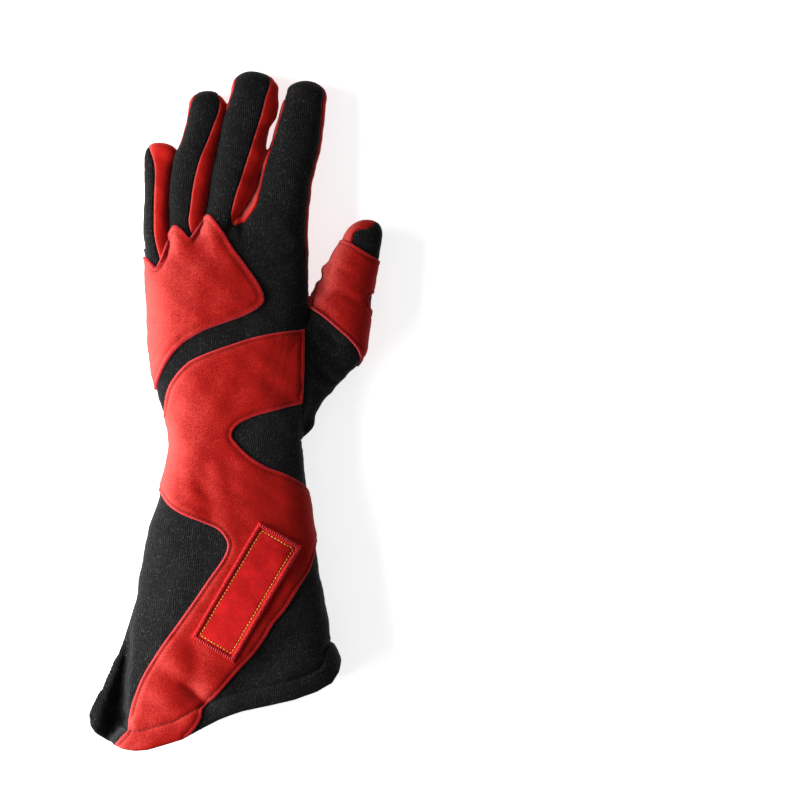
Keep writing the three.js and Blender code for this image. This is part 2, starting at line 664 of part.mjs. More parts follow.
const glove = new THREE.Group();
for (const [name, [piece, material]] of Object.entries(pieces)) {
  const mesh = new THREE.Mesh(geometryOf(piece), material);
  mesh.name = name;
  glove.add(mesh);
}

// The origin goes under the middle of the glove

const bounds = new THREE.Box3().setFromObject(glove);
const centre = bounds.getCenter(new THREE.Vector3());
glove.position.set(-centre.x, -centre.y, -bounds.min.z);

export default glove;
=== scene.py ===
"""Racing glove for the left hand: the finish of every surface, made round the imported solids.

One smooth form is lofted through the glove's sections, remeshed into a single skin and creased as
the cloth is. Lines drawn in plan and the side seam then cut that skin into its sewn pieces. Each
piece becomes a closed wall whose rims roll into their seams, overlays are raised from the same
skin, and Geometry Nodes lay the stitches. All tables are in millimetres.
"""

import logging
import math
from dataclasses import dataclass
from enum import Enum

import bpy
import numpy as np
from mathutils import Matrix, Vector, kdtree
from mathutils.bvhtree import BVHTree


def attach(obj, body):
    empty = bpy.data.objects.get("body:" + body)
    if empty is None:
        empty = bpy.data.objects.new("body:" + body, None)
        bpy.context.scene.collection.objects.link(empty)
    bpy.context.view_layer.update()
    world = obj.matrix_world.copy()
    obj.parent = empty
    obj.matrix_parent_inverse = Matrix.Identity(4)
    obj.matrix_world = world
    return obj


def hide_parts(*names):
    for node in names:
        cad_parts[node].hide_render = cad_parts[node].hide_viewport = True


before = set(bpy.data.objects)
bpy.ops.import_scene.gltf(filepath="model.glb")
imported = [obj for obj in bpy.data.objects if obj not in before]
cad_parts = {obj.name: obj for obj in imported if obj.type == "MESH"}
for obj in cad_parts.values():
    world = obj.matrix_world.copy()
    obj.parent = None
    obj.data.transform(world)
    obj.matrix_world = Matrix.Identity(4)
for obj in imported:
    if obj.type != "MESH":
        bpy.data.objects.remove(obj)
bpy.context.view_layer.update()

Array = np.ndarray
Point = tuple[float, float]
Color = tuple[float, float, float, float]
Lines = tuple[Array, Array, Array]

# An outline seen from above: [x, y] is a corner, and (x, y) a point on a curve
Plan = list[list[float] | Point]

log = logging.getLogger("glove")

MM = 0.001
BODY = "root"

# From the tables' zero to the frame's origin
TABLE_SHIFT = np.array([0.129, 0.159, 0.0])


class Half(Enum):
    """The two halves of the glove, above and below its side seam."""

    BACK = 1
    PALM = -1


class Slot(Enum):
    """The record's material slots."""

    KNIT = "black_knit"
    SUEDE = "red_suede"
    PATCH = "black_suede"
    TWILL = "red_twill"


def placed(name: str, data: bpy.types.ID) -> bpy.types.Object:
    """Puts a new object in the scene.

    Args:
        name: The object's name.
        data: Its mesh, light or camera.

    Returns:
        The object.
    """
    made = bpy.data.objects.new(name, data)
    bpy.context.scene.collection.objects.link(made)
    return made


def applied(holder: bpy.types.Object) -> bpy.types.Mesh:
    """Applies an object's modifiers and removes the object.

    Args:
        holder: The object.

    Returns:
        The mesh that its modifiers make.
    """
    evaluated = holder.evaluated_get(bpy.context.evaluated_depsgraph_get())
    mesh = bpy.data.meshes.new_from_object(evaluated)
    bpy.data.objects.remove(holder)
    return mesh


def hand_over(piece: bpy.types.Object, slot: Slot, *nodes: str) -> None:
    """Ties a finished piece to its body, hides the nodes that it replaces, and reports it.

    Args:
        piece: The finished piece.
        slot: Its material slot; not used.
        nodes: The nodes that it replaces, none for stitches.
    """
    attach(piece, BODY)
    if nodes:
        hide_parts(*nodes)
    log.info("%s: %d faces", piece.name, len(piece.data.polygons))


# Curves and fields


def ease(value: Array) -> Array:
    """A smooth step from 0 to 1."""
    t = np.clip(value, 0.0, 1.0)
    return t * t * (3.0 - 2.0 * t)


def between(value: Array, low: float, high: float, rise: float, fall: float | None = None) -> Array:
    """A smooth step up past one value and down again before another.

    Args:
        value: What is looked at.
        low: Where the step up begins.
        high: Where the step down ends.
        rise: How long the step up is.
        fall: How long the step down is; as long as the step up if left out.

    Returns:
        From 0 to 1 for each value.
    """
    return ease((value - low) / rise) * ease((high - value) / (fall or rise))


def bump(distance: Array, width: float) -> Array:
    """A bell of height 1 round zero."""
    return np.exp(-((distance / width) ** 2))


def round_off(distance: Array, radius: float) -> Array:
    """How far a rounded edge falls away, from its radius at the very edge to nothing."""
    curl = np.clip(radius - distance, 0, radius)
    return radius - np.sqrt(np.maximum(radius**2 - curl**2, 0))


def hermite(at: Array, knots: Array, values: Array) -> Array:
    """Values between the rows of a table.

    Args:
        at: Places along the table.
        knots: The rows' own places, rising.
        values: One row of values for each knot.

    Returns:
        One row of values for each place, on a smooth curve through the table.
    """
    slope = np.gradient(values, knots, axis=0)
    i = np.clip(np.searchsorted(knots, at) - 1, 0, len(knots) - 2)
    h = knots[i + 1] - knots[i]
    t = np.clip((at - knots[i]) / h, 0.0, 1.0)
    if values.ndim > 1:
        h, t = h[:, None], t[:, None]
    ahead = t * t * (3 - 2 * t)
    return (
        (1 - ahead) * values[i]
        + ahead * values[i + 1]
        + h * t * (1 - t) * ((1 - t) * slope[i] - t * slope[i + 1])
    )


def off_line(x: Array, y: Array, start: Point, end: Point) -> tuple[Array, Array]:
    """Where places in plan lie to a straight line.

    Args:
        x: The places' x.
        y: Their y.
        start: Where the line starts.
        end: Where it ends.

    Returns:
        How far along the line each place is, from 0 to 1, and its distance squared.
    """
    dx, dy = end[0] - start[0], end[1] - start[1]
    t = np.clip(((x - start[0]) * dx + (y - start[1]) * dy) / max(dx * dx + dy * dy, 1e-9), 0, 1)
    return t, (x - start[0] - t * dx) ** 2 + (y - start[1] - t * dy) ** 2


def back(edge: Plan) -> Plan:
    """An edge drawn the other way."""
    return edge[::-1]


def smooth_run(points: Array, steps: int = 7) -> Array:
    """A Catmull-Rom curve through points, without its last one.

    Args:
        points: The points that the curve passes through.
        steps: How many points stand for each stretch.

    Returns:
        The curve's points.
    """
    if len(points) == 2:
        return points[:1]
    ends = np.vstack([2 * points[0] - points[1], points, 2 * points[-1] - points[-2]])
    out = []
    for p0, p1, p2, p3 in zip(ends, ends[1:], ends[2:], ends[3:]):
        d0, d1, d2 = (np.linalg.norm(b - a) ** 0.5 for a, b in ((p0, p1), (p1, p2), (p2, p3)))
        m1 = ((p1 - p0) / d0 - (p2 - p0) / (d0 + d1) + (p2 - p1) / d1) * d1
        m2 = ((p2 - p1) / d1 - (p3 - p1) / (d1 + d2) + (p3 - p2) / d2) * d1
        for k in range(steps):
            t = k / steps
            a = (2 * p1 - 2 * p2 + m1 + m2) * t + (-3 * p1 + 3 * p2 - 2 * m1 - m2)
            out.append((a * t + m1) * t + p1)
    return np.array(out)


def outline(plan: Plan) -> Array:
    """A closed outline: straight to and from corners, smooth through the points between them.

    Args:
        plan: The outline's corners and points, in order.

    Returns:
        Its points, closely spaced on curves.
    """
    first = next(i for i, dot in enumerate(plan) if isinstance(dot, list))
    run, out = [plan[first]], []
    for dot in plan[first + 1 :] + plan[: first + 1]:
        run.append(dot)
        if isinstance(dot, list):
            out.append(smooth_run(np.array(run, float)))
            run = [dot]
    return np.vstack(out)


def inside(points: Array, plan: Plan, reach: float = 9.0) -> Array:
    """Signed distance in plan to a closed outline.

    Args:
        points: Points, of which x and y are used.
        plan: The outline.
        reach: Distances past this are cut off.

    Returns:
        A distance for each point, positive inside.
    """
    shape = outline(plan)
    xy = points[:, :2]
    near = np.all((xy > shape.min(0) - reach) & (xy < shape.max(0) + reach), axis=1)
    x, y = xy[near, 0], xy[near, 1]
    best = np.full(len(x), reach**2)
    within = np.zeros(len(x), bool)
    for (ax, ay), (bx, by) in zip(shape, np.roll(shape, -1, axis=0)):
        best = np.minimum(best, off_line(x, y, (ax, ay), (bx, by))[1])
        crosses = (ay > y) != (by > y)
        rise = by - ay if abs(by - ay) > 1e-9 else 1e-9
        within ^= crosses & (x < ax + (y - ay) * (bx - ax) / rise)
    out = np.full(len(points), -reach)
    out[near] = np.where(within, 1.0, -1.0) * np.sqrt(best)
    return out


# The glove's tables

# The side seam's height at places along the glove
SEAM_LINE = np.array([
    (-215, 21), (-110, 20), (-60, 18), (-20, 17.5), (30, 16), (90, 15.5), (125, 14), (150, 11.5),
    (180, 9), (215, 8.5),
])


@dataclass(frozen=True)
class Section:
    """A cross section of a limb.

    It has its two ends in plan, its heights, the lowest that it may lie, how far each end bows
    towards the open end, and how square each side is: 1 is an ellipse, and less is squarer.
    """

    left: Point
    right: Point
    top: float
    bottom: float
    rest: float = 0.0
    bow: Point = (0.0, 0.0)
    square: Point = (0.84, 0.84)

    def row(self) -> list[float]:
        """The section as one row of numbers."""
        return [*self.left, *self.right, self.top, self.bottom, self.rest, *self.bow, *self.square]


def sections(*rows: tuple, square: Point = Section.square) -> tuple[Section, ...]:
    """Sections from plain rows that are equally square."""
    return tuple(Section(*row, square=square) for row in rows)


@dataclass(frozen=True)
class CuffFold:
    """The fold in the cuff on the little-finger side: a low flap beyond a ridge that runs to the hem."""

    ridge: tuple[Point, ...] = (
        (-196, -76), (-191, -73), (-185.4, -68), (-180, -63), (-173.6, -59), (-166, -60.4),
        (-158, -60), (-151, -59.8), (-140, -58.4), (-123, -57), (-116.5, -56), (-100, -53.6),
        (-80, -51),
    )
    start: float = -110.0
    end: float = -126.0
    width: float = 5.0
    drop: float = 0.72
    dip: float = 0.85

    def flap(self, x: Array, y: Array) -> Array:
        """How far places in plan are on the flap.

        Args:
            x: The places' x.
            y: Their y.

        Returns:
            0 off the flap, 1 on it, and between them near the ridge.
        """
        table = np.array(self.ridge, float)
        beyond = hermite(np.clip(y, table[0, 0], table[-1, 0]), table[:, 0], table[:, 1]) - x
        return ease((self.start - y) / (self.start - self.end)) * ease(beyond / self.width + 0.2)


FOLD = CuffFold()


def seam_height(y: Array) -> Array:
    """Height of the side seam at places along the glove."""
    return hermite(y, SEAM_LINE[:, 0], SEAM_LINE[:, 1])


@dataclass(frozen=True)
class Limb:
    """A limb of the glove: a loft through its sections, closed by a rounded tip."""

    name: str
    tip: float
    sections: tuple[Section, ...]
    blunt: float = 0.8
    tip_rows: int = 11
    tip_angle: float = 84.0
    sides: int = 84
    spacing: float = 1.8
    under_bow: float = 0.85
    ground_radius: float = 0.8

    def rows(self) -> Array:
        """Spaces the sections closely and adds the tip.

        Returns:
            A row for each section, as Section.row gives it.
        """
        table = np.array([s.row() for s in self.sections], float)
        centres = (table[:, 0:2] + table[:, 2:4]) / 2
        knots = np.concatenate([[0], np.cumsum(np.linalg.norm(np.diff(centres, axis=0), axis=1))])
        rows = hermite(np.linspace(0, knots[-1], int(knots[-1] / self.spacing) + 2), knots, table)
        last, centre = rows[-1], (rows[-1, 0:2] + rows[-1, 2:4]) / 2
        ahead = centres[-1] - centres[-2]
        ahead /= np.linalg.norm(ahead)
        tips = []
        for angle in np.radians(np.linspace(0, self.tip_angle, self.tip_rows + 1)[1:]):
            shrink = math.cos(angle) ** self.blunt
            row = last.copy()
            moved = centre + ahead * math.sin(angle) * self.tip
            row[0:2] = moved + (last[0:2] - centre) * shrink
            row[2:4] = moved + (last[2:4] - centre) * shrink
            level = seam_height(moved[1:2])[0]
            row[4:6] = level + (last[4:6] - level) * shrink
            tips.append(row)
        return np.vstack([rows, tips])

    def mesh(self) -> tuple[Array, list[tuple[int, ...]]]:
        """Closes the loft.

        Returns:
            Its points and its faces.
        """
        rows = self.rows()
        left, right = rows[:, None, 0:2], rows[:, None, 2:4]
        across = right - left
        half = np.linalg.norm(across, axis=2, keepdims=True) / 2
        across = across / (2 * half)
        centre = (left + right) / 2
        angle = np.linspace(0, 2 * math.pi, self.sides, endpoint=False)[None, :]
        power = np.where(np.cos(angle) > 0, rows[:, 10:11], rows[:, 9:10])
        u = np.sign(np.cos(angle)) * np.abs(np.cos(angle)) ** power
        v = np.sign(np.sin(angle)) * np.abs(np.sin(angle)) ** power
        bow = rows[:, 7:8] + (rows[:, 8:9] - rows[:, 7:8]) * (u + 1) / 2
        run = bow * np.abs(v) ** 0.7 * np.where(v < 0, self.under_bow, 1.0)
        x = centre[:, :, 0] + across[:, :, 0] * u * half[:, :, 0] + across[:, :, 1] * run
        y = centre[:, :, 1] + across[:, :, 1] * u * half[:, :, 0] - across[:, :, 0] * run
        seam = seam_height(centre[:, 0, 1])[:, None]
        fold = FOLD.flap(x.ravel(), y.ravel()).reshape(x.shape)
        lost = v * fold * (FOLD.drop + FOLD.dip * ease((v - 0.2) / 0.4))
        rise = np.where(v > 0, (rows[:, 4:5] - seam) * (v - lost), (seam - rows[:, 5:6]) * v)
        above = seam + rise - rows[:, 6:7]
        z = rows[:, 6:7] + 0.5 * (above + np.sqrt(above**2 + self.ground_radius))
        points = np.stack([x, y, z], axis=2)
        n, k = x.shape
        ends = [points[0].mean(0), points[-1].mean(0)]
        faces = []
        for j in range(k):
            m = (j + 1) % k
            faces += [(r * k + j, r * k + m, (r + 1) * k + m, (r + 1) * k + j) for r in range(n - 1)]
            faces += [(n * k, m, j), (n * k + 1, (n - 1) * k + j, (n - 1) * k + m)]
        return np.vstack([points.reshape(-1, 3), ends]), faces


HAND = Limb("hand", 6.0, (
    *sections(
        ((-90.5, -188), (61, -157), 41, -1.5, 0, (37, 17)),
        ((-83.5, -172.5), (60.5, -146), 41, -1.5, 0, (29, 13)),
        ((-79.5, -163), (57.5, -136.5), 41.5, -1.5, 0, (23, 10)),
        ((-76.5, -157), (54, -129), 41.5, -1.5, 0, (19, 8)),
        ((-66, -136), (52.6, -120), 41.5, -1.5, 0, (10, 5)), ((-56, -106), (49, -100), 41, -1.5),
        ((-52.4, -84), (45.4, -84), 40, -0.5),
        square=(0.84, 0.74),
    ),
    *sections(
        ((-49.2, -68), (42.9, -66), 38.6, 0.4), ((-40, -39), (39, -38), 36, 3.4),
        ((-37, -27), (38.4, -27), 34.6, 4.6), ((-36.1, -19.5), (37.5, -20.5), 34, 5),
        ((-36.6, -11), (37.6, -12), 34, 4.5),
        square=(0.7, 0.66),
    ),
    *sections(
        ((-41.4, 1), (38.2, 0), 34.5, 3, 1.5), ((-46, 20), (38.6, 20), 36, 0.8, 1.5),
        ((-48.4, 46), (39.8, 46), 37, 0, 1.5), ((-49.6, 70), (40.8, 74), 34.5, 0.5, 1.5),
        ((-49.8, 80), (40.6, 89), 30.5, 3, 1.5), ((-48.5, 86.5), (39.6, 98.5), 26, 6.5, 1.5),
        square=(0.82, 0.62),
    ),
))
LIMBS = (
    HAND,
    Limb("little", 7.5, sections(
        ((-47, 72), (-34, 72), 24, 9), ((-50.3, 84), (-35.2, 86), 26.5, 5.5),
        ((-51.6, 103), (-37.6, 103), 25, 5), ((-51.2, 126), (-37.6, 126), 22, 3),
        ((-51.2, 143), (-35.6, 141.6), 18, -0.4),
    )),
    Limb("ring", 9.0, sections(
        ((-34, 72), (-17.5, 74), 30.5, 6), ((-34.8, 104), (-19.2, 104), 28, 5.5),
        ((-34.3, 129), (-16.8, 128), 25.5, 4.5), ((-31.6, 146.5), (-13, 145.5), 22.5, 2.5),
        ((-27.8, 163), (-8.4, 163), 19, 0), ((-26.4, 171), (-7.4, 170), 18, -0.6),
    )),
    Limb("middle", 9.0, sections(
        ((-15.5, 74), (-1, 76), 32, 5), ((-16.6, 106), (0.4, 105), 29.5, 5.5),
        ((-15.8, 113), (4.4, 112.5), 28.8, 5.4), ((-15, 123), (9.8, 121), 27.8, 5.2),
        ((-13.2, 134), (12.6, 134), 26.4, 4.8), ((-7.2, 157), (17.8, 158), 22.5, 2),
        ((-2, 182.6), (22.4, 180), 18, -0.6),
    )),
    Limb("index", 10.5, sections(
        ((3, 74), (36, 76), 30.5, 5), ((0, 90), (40.2, 93), 31, 4.5),
        ((-0.4, 104.5), (41, 108.5), 30, 4.5), ((5.6, 113), (41.6, 116), 29, 4.5),
        ((10, 120.5), (42.2, 123), 28.2, 4.4), ((14.6, 133), (44.6, 134), 26.8, 4),
        ((19.4, 153), (49.2, 154), 23, 1.7), ((27.2, 175.6), (50.6, 173), 18.5, -0.6),
    ), 1.0),
    Limb("thumb_saddle", 5.0, sections(
        ((16, -2), (38, -8), 30, 8), ((18, 18), (44, 6), 32, 6), ((20, 38), (48, 24), 33, 5),
        ((24, 48), (48, 38), 30, 6),
    )),
    Limb("web_little_ring", 3.0, sections(
        ((-44, 74), (-28, 76), 28, 8), ((-42, 85), (-31, 88), 24, 9),
    )),
    Limb("web_ring_middle", 4.0, sections(
        ((-27, 86), (-9, 90), 30, 8), ((-24.5, 98), (-12, 101), 26.5, 9),
    )),
    Limb("web_middle_index", 4.0, sections(
        ((-9, 84), (9, 86), 32, 7), ((-6.5, 98), (5.5, 100), 29.5, 8), ((-4, 104), (6.5, 106), 27, 9),
    )),
    Limb("thumb", 15.0, sections(
        ((13, 1), (36.5, -16.5), 20, 10), ((15, 8), (43.4, -9.5), 22.5, 6),
        ((18, 18), (44.8, -2.6), 24.5, 3.5), ((21, 28), (48, 3), 25.5, 1.8),
        ((27.5, 46), (61, 18.5), 26.5, -0.2), ((38, 59), (70.5, 28.5), 27, -0.6),
        ((44.8, 66.5), (74, 43.5), 26.5, -0.4), ((51, 78.5), (77, 70.5), 24.5, 1.6),
        ((55, 87.5), (79.5, 81.5), 23.5, 2), ((59, 94), (81.2, 91), 22.5, 2.4),
    )),
)


@dataclass(frozen=True)
class Touch:
    """Two neighbouring fingers that lie against each other.

    Each row gives a place along the glove, a place between the two fingers as they are lofted,
    then where the left finger's and the right finger's facing sides lie.
    """

    rows: tuple[tuple[float, float, float, float], ...]
    reach: float = 10.0
    under: float = 8.0
    press: float = 0.4

    def close(self, skin: "Skin") -> None:
        """Moves both fingers' sides to where they lie, and keeps which side of the line each point is on.

        Args:
            skin: The form, with its values plan_shift and under.
        """
        table = np.array(self.rows)
        x, y = skin.points[:, 0].copy(), skin.points[:, 1]
        edges = []
        for at, middle, _, _ in self.rows:
            near = x[(np.abs(y - at) < 1.0) & (np.abs(x - middle) < 7)]
            left_side = near[near < middle].max(initial=middle - 7)
            edges.append((left_side, near[near > middle].min(initial=middle + 7)))
        left, right = (np.interp(y, table[:, 0], column) for column in zip(*edges))
        middle, left_to, right_to = (np.interp(y, table[:, 0], table[:, k]) for k in (1, 2, 3))
        begun, ended = ease((y - table[0, 0]) / 4), ease((table[-1, 0] - y) / 6)
        touching = self.press * (right_to - left_to < 0.6)
        left_to, right_to = left_to + touching, right_to - touching
        on_left = x < middle
        away = np.maximum(np.where(on_left, left - x, x - right), 0)
        move = np.where(on_left, left_to - left, right_to - right)
        skin.points[:, 0] += begun * ended * move * ease(1 - away / self.reach)
        skin.data["plan_shift"] += np.where(on_left, -0.5, 0.5) * begun * ended * ease(1 - away / 2.5)
        under = ~on_left * begun * ended * ease(1 - away / self.under)
        skin.data["under"] = np.maximum(skin.data["under"], under)

    def gap(self, last: float) -> Plan:
        """The line between the two fingers, up to a place along the glove."""
        return [((a + b) / 2, y) for y, _, a, b in self.rows if y <= last]


LITTLE_RING = Touch((
    (82, -35.4, -35.6, -35.7), (88, -35.6, -36.4, -36.5), (96, -36, -37.1, -37.2),
    (103, -36.2, -37.1, -37.2), (126, -35.9, -36.7, -36.8), (136, -35.2, -35.5, -35.7),
    (143, -34, -33.8, -34.0), (151, -32, -33.4, -31.4),
))
RING_MIDDLE = Touch((
    (94, -18.2, -18.3, -18.4), (100, -18, -18.2, -18.3), (112, -17.2, -16.3, -16.5),
    (122, -16.3, -14.9, -15.1), (132, -15, -13.3, -13.5), (145, -11.8, -10.7, -10.9),
    (157, -8.6, -8.0, -8.2), (164, -6.9, -6.6, -6.8), (172, -4.8, -5.2, -4.6), (180, -2.6, -3.8, -2.4),
), press=0.8)
MIDDLE_INDEX = Touch((
    (99, -0.8, -0.9, -0.8), (104, -0.3, -0.4, -0.3), (108, 1.3, 1.1, 1.2), (112, 3.9, 3.9, 3.8),
    (116, 6.6, 6.7, 6.6), (120.5, 9.2, 9.3, 9.1), (124.5, 11.2, 11.7, 11.5), (131, 13.2, 13.5, 13.3),
    (138, 15, 15.2, 15.0), (144, 16.6, 17.3, 17.1), (151, 17.9, 17.6, 19.8), (158, 19.6, 19.4, 21.5),
    (164, 21.6, 22.8, 23.6), (170, 23.6, 24.2, 25.1), (178, 25.6, 24.4, 28.1), (186, 26.7, 23.6, 29),
), press=1.0)

# Where the side seam rises or falls: its place, its reach each way, and by how much
SEAM_LIFTS = ((-28.0, 158.0, 4.0, 9.0, 3.2), (-3.6, 178.0, 5.5, 9.0, 6.0), (-51.0, 120.0, 6.0, 26.0, -3.5))

# A distance past the glove's ends, and one past its sides
FAR = 215.0
WIDE = 130.0

# Seams drawn in plan, each from its crotch or wrist end to its far end
LITTLE_STRIP = [[-42, 84], (-45.3, 98), (-45.5, 118), (-45.4, 137), [-49.4, 149]]
LITTLE_RING_GAP = [
    [-42, 84], *LITTLE_RING.gap(143), (-30.8, 150), (-28.8, 158), (-26.8, 166), (-24.8, 173),
    [-21, 180],
]
RING_STRIP = [
    [-24.5, 99], (-26, 104.7), (-25.1, 113.2), (-23.9, 123), (-22, 132.7), (-19.6, 141.2), (-16, 149.7),
    (-12.3, 159.5), (-9.3, 168), (-8.8, 173), [-10.5, 180],
]
RING_MIDDLE_GAP = [
    [-24.5, 99], *RING_MIDDLE.gap(164)[1:], (-3.8, 171.6), (-1.5, 180), (-0.3, 187), [1, 198],
]
MIDDLE_STRIP = [
    [-1.2, 103.2], (-2.1, 108.4), (-1.4, 113.2), (0.4, 120.5), (2.9, 127.8), (5.9, 137.6), (9, 147.3),
    (12, 157), (15, 166.9), (17, 175.3), (19.4, 183), [19, 192],
]
INDEX_STRIP = [
    [-1.2, 103.2], (4.8, 105.3), (8.3, 109.6), (11.4, 114.4), (13.2, 120.5), (14.5, 127.8),
    (16.2, 135.1), (18.9, 143.7), (21.4, 151), (23.2, 158), (25.2, 164.8), (27.3, 172), [29, 186],
]

LITTLE_FRONT = [[-36, 86], (-40, 96), (-40.4, 109), (-40, 123), (-38.5, 141), [-38, 160]]
RING_FRONT_LEFT = [[-36, 86], (-32.4, 98), (-32.6, 114), (-31.6, 130), (-28.4, 146.5), [-22.5, 172]]
RING_FRONT_RIGHT = [[-18.4, 92], (-21.6, 100), (-21.4, 114), (-20, 130), (-16.2, 145.5), [-9.5, 170]]
MIDDLE_FRONT_LEFT = [[-18.4, 92], (-15, 105), (-12.8, 123), (-9, 140), (-4.2, 157), [2, 184]]
MIDDLE_FRONT_RIGHT = [[1.5, 97], (-1, 108), (4, 124.5), (8.6, 141), (13.2, 158), [18.5, 180]]
INDEX_FRONT = [[1.5, 97], (9.4, 107), (13, 121), (17.6, 139), (22.8, 154), [30, 178]]

THUMB_CROTCH = [40.6, 58]
THUMB_SIDE = [[36.6, -17], (37.6, 4.5), (38.7, 18), (39.2, 45), THUMB_CROTCH]
THUMB_UPPER = [
    THUMB_CROTCH, (50, 70), (57, 79.5), (62.5, 88), (65.6, 94.6), (66.4, 98.8), (69, 100.9),
    (74.2, 101.8), (77.6, 103.8), [79.4, 110],
]
THUMB_ROOT = [[6, -17], (8.6, 0.7), [11, 8]]
THUMB_UNDER = [
    [11, 8], (19.5, 22.5), (31, 34), (43, 45), (53, 60), (61, 76), (67.5, 90), (73, 100), [79.4, 110],
]
KEYSTONE = [[11, 8], (5, 24), (4.2, 40), (8, 55), (17, 64.3), (30, 66), THUMB_CROTCH]
THUMB_OPENING = [[43.5, 80], [47, 108], [58, 120]]
WRIST = [[-WIDE, -14], [-38, -14], (-16, -15.5), [6, -17], [WIDE, -17]]
UNDER_WAVE = [[-WIDE, -24], [-45, -24], (-22, -7), (6, 11), [38.6, 18]]

# The outlines of the sewn pieces; what they leave is the hand's back and the palm
GUSSETS = ("fourchette_little_ring", "fourchette_ring_middle", "fourchette_middle_index")
UPPER_PIECES: dict[str, Plan] = {
    "fourchette_little_ring": [
        *LITTLE_STRIP, [-49.4, 165], [-40, FAR], [-22, FAR], *back(LITTLE_RING_GAP)[:-1],
    ],
    "fourchette_ring_middle": [*RING_STRIP, [-8, FAR], [4, FAR], *back(RING_MIDDLE_GAP)[:-1]],
    "fourchette_middle_index": [*MIDDLE_STRIP, [22, FAR], [25, FAR], *back(INDEX_STRIP)[:-1]],
    "thumb_back": [*THUMB_SIDE, *THUMB_UPPER[1:], [95, 110], [95, -17]],
    "thumb_front": [*THUMB_UPPER, [79, 120], *back(THUMB_OPENING)],
    "cuff_back": [[-WIDE, -FAR], *UNDER_WAVE, [38, 4], [36.6, -17], [WIDE, -17], [WIDE, -FAR]],
}
LOWER_PIECES: dict[str, Plan] = {
    "fourchette_little_ring": [*LITTLE_FRONT, [-31, 160], [-24, 190], *back(RING_FRONT_LEFT)[:-1]],
    "fourchette_ring_middle": [*RING_FRONT_RIGHT, [-9.5, FAR], [2, FAR], *back(MIDDLE_FRONT_LEFT)[:-1]],
    "fourchette_middle_index": [*MIDDLE_FRONT_RIGHT, [20.2, FAR], [30, FAR], *back(INDEX_FRONT)[:-1]],
    "thumb_back": [*THUMB_ROOT, *THUMB_UNDER[1:], [95, 110], [95, -17]],
    "thumb_front": [*KEYSTONE, *THUMB_OPENING, *back(THUMB_UNDER)[:-1]],
    "cuff_front": [*WRIST, [WIDE, -FAR], [-WIDE, -FAR]],
}
PIECES = {Half.BACK: UPPER_PIECES, Half.PALM: LOWER_PIECES}

# The cuff's open edge in plan, and how deep its turned hem is
HEM_EDGE = (
    (-86, -158), (-84.4, -166), (-82.4, -172.5), (-81.5, -177), (-78.7, -180.3), (-74.8, -183.1),
    (-69.2, -186), (-62.4, -189.2), (-55.7, -190.2), (-49, -189.6), (-40, -187), (-29.4, -183.7),
    (-19.9, -178.6), (-8.7, -172.6), (4.8, -168), (19.3, -165), (33.9, -161.6), (46.2, -157.2),
    (54.8, -152.4), (59, -146), (60.6, -138),
)
HEM_BAND = 10.5

# Outlines of the overlays
KNUCKLE_PANEL = [
    [-62, 92], (-51.1, 86.6), [-44, 79.8], (-40.6, 88.5), (-37.4, 97.6), (-33.9, 103.4), (-30.2, 101.6),
    [-25.5, 96], (-21.5, 102), (-18, 107.2), (-14.6, 109.3), (-11.4, 106.4), (-5.9, 98.6), (-0.3, 89.6),
    (6.4, 80.6), (12.6, 71.7), (16, 64.5), (15.9, 59.6), (8.1, 53.9), (-3.6, 49.3), (-16, 44.8),
    (-24.4, 40.3), (-30.5, 35.8), (-36.2, 29), (-40, 22.4), (-43, 15.5), [-44.5, 10], [-62, 8],
]
WAVE_HAND_EDGE = [
    [38.7, 44.8], (24, 43.2), (9.8, 40.3), (-4.2, 35.8), (-16.5, 31.4), (-26, 26.6), (-34.2, 17.9),
    (-38.2, 9), [-39.7, -4], [-62, -8], [-62, -42], [-42.3, -45],
]
WAVE_OUTER_CUFF = [
    (-36.7, -53.4), (-29.4, -58.2), (-18.2, -62.7), (-8.7, -67.2), (-4, -74.5), (-5.4, -80.8),
    (-14.3, -94.1), (-26.6, -112), (-39.5, -130), (-50.7, -147.8), (-57.2, -165), [-59.2, -178.8],
    [-67.4, -187.4],
]
WAVE_INNER_CUFF = [
    [-34, -FAR], [-31, -186.5], (-23.5, -179), (-18.6, -171.6), [-17.8, -166.8], (-8.9, -158),
    (3.6, -143.4), (10.9, -135.5), (16.5, -127.7), (22.1, -118.7), (27.7, -112), (33.3, -103),
    (37.8, -95.2), (41.2, -89.6), (43.5, -81.8), (44.8, -73), [50, -60],
]
WAVE_BAY = [
    [50, -56], [41.6, -50.4], (38.8, -43), (28.3, -36), (17, -31.4), (9.8, -27), (2.6, -20.4),
    (-1.7, -14.2), (0.6, -9.2), (9, -4.2), (23.8, 0.2), [37.4, 3.8], (38.3, 20),
]
WAVE_PANEL = [*WAVE_HAND_EDGE, *WAVE_OUTER_CUFF, [-69, -FAR], *WAVE_INNER_CUFF, *WAVE_BAY]
THUMB_PANEL = {
    Half.BACK: [
        [58.6, 95.3], (64, 94), (70.4, 89.9), [80, 83.8], [95, 78], [95, 68], [78.5, 66.6],
        (74.6, 63.5), (74.4, 59), [77, 54], [95, 50], [95, 22], [70.4, 25], (68.6, 33), (63.5, 39.6),
        (56.3, 46), (48.4, 52.6), [40.8, 57.5], [41.8, 64], [44.5, 78], [50, 99],
    ],
    Half.PALM: [
        [95, 83], [76, 83], (70.5, 80), (69, 74), (71, 68), [77, 65], [82, 59.5], [77, 55], (69.5, 51),
        (66, 41), (66, 33), [68, 24], [95, 22],
    ],
}
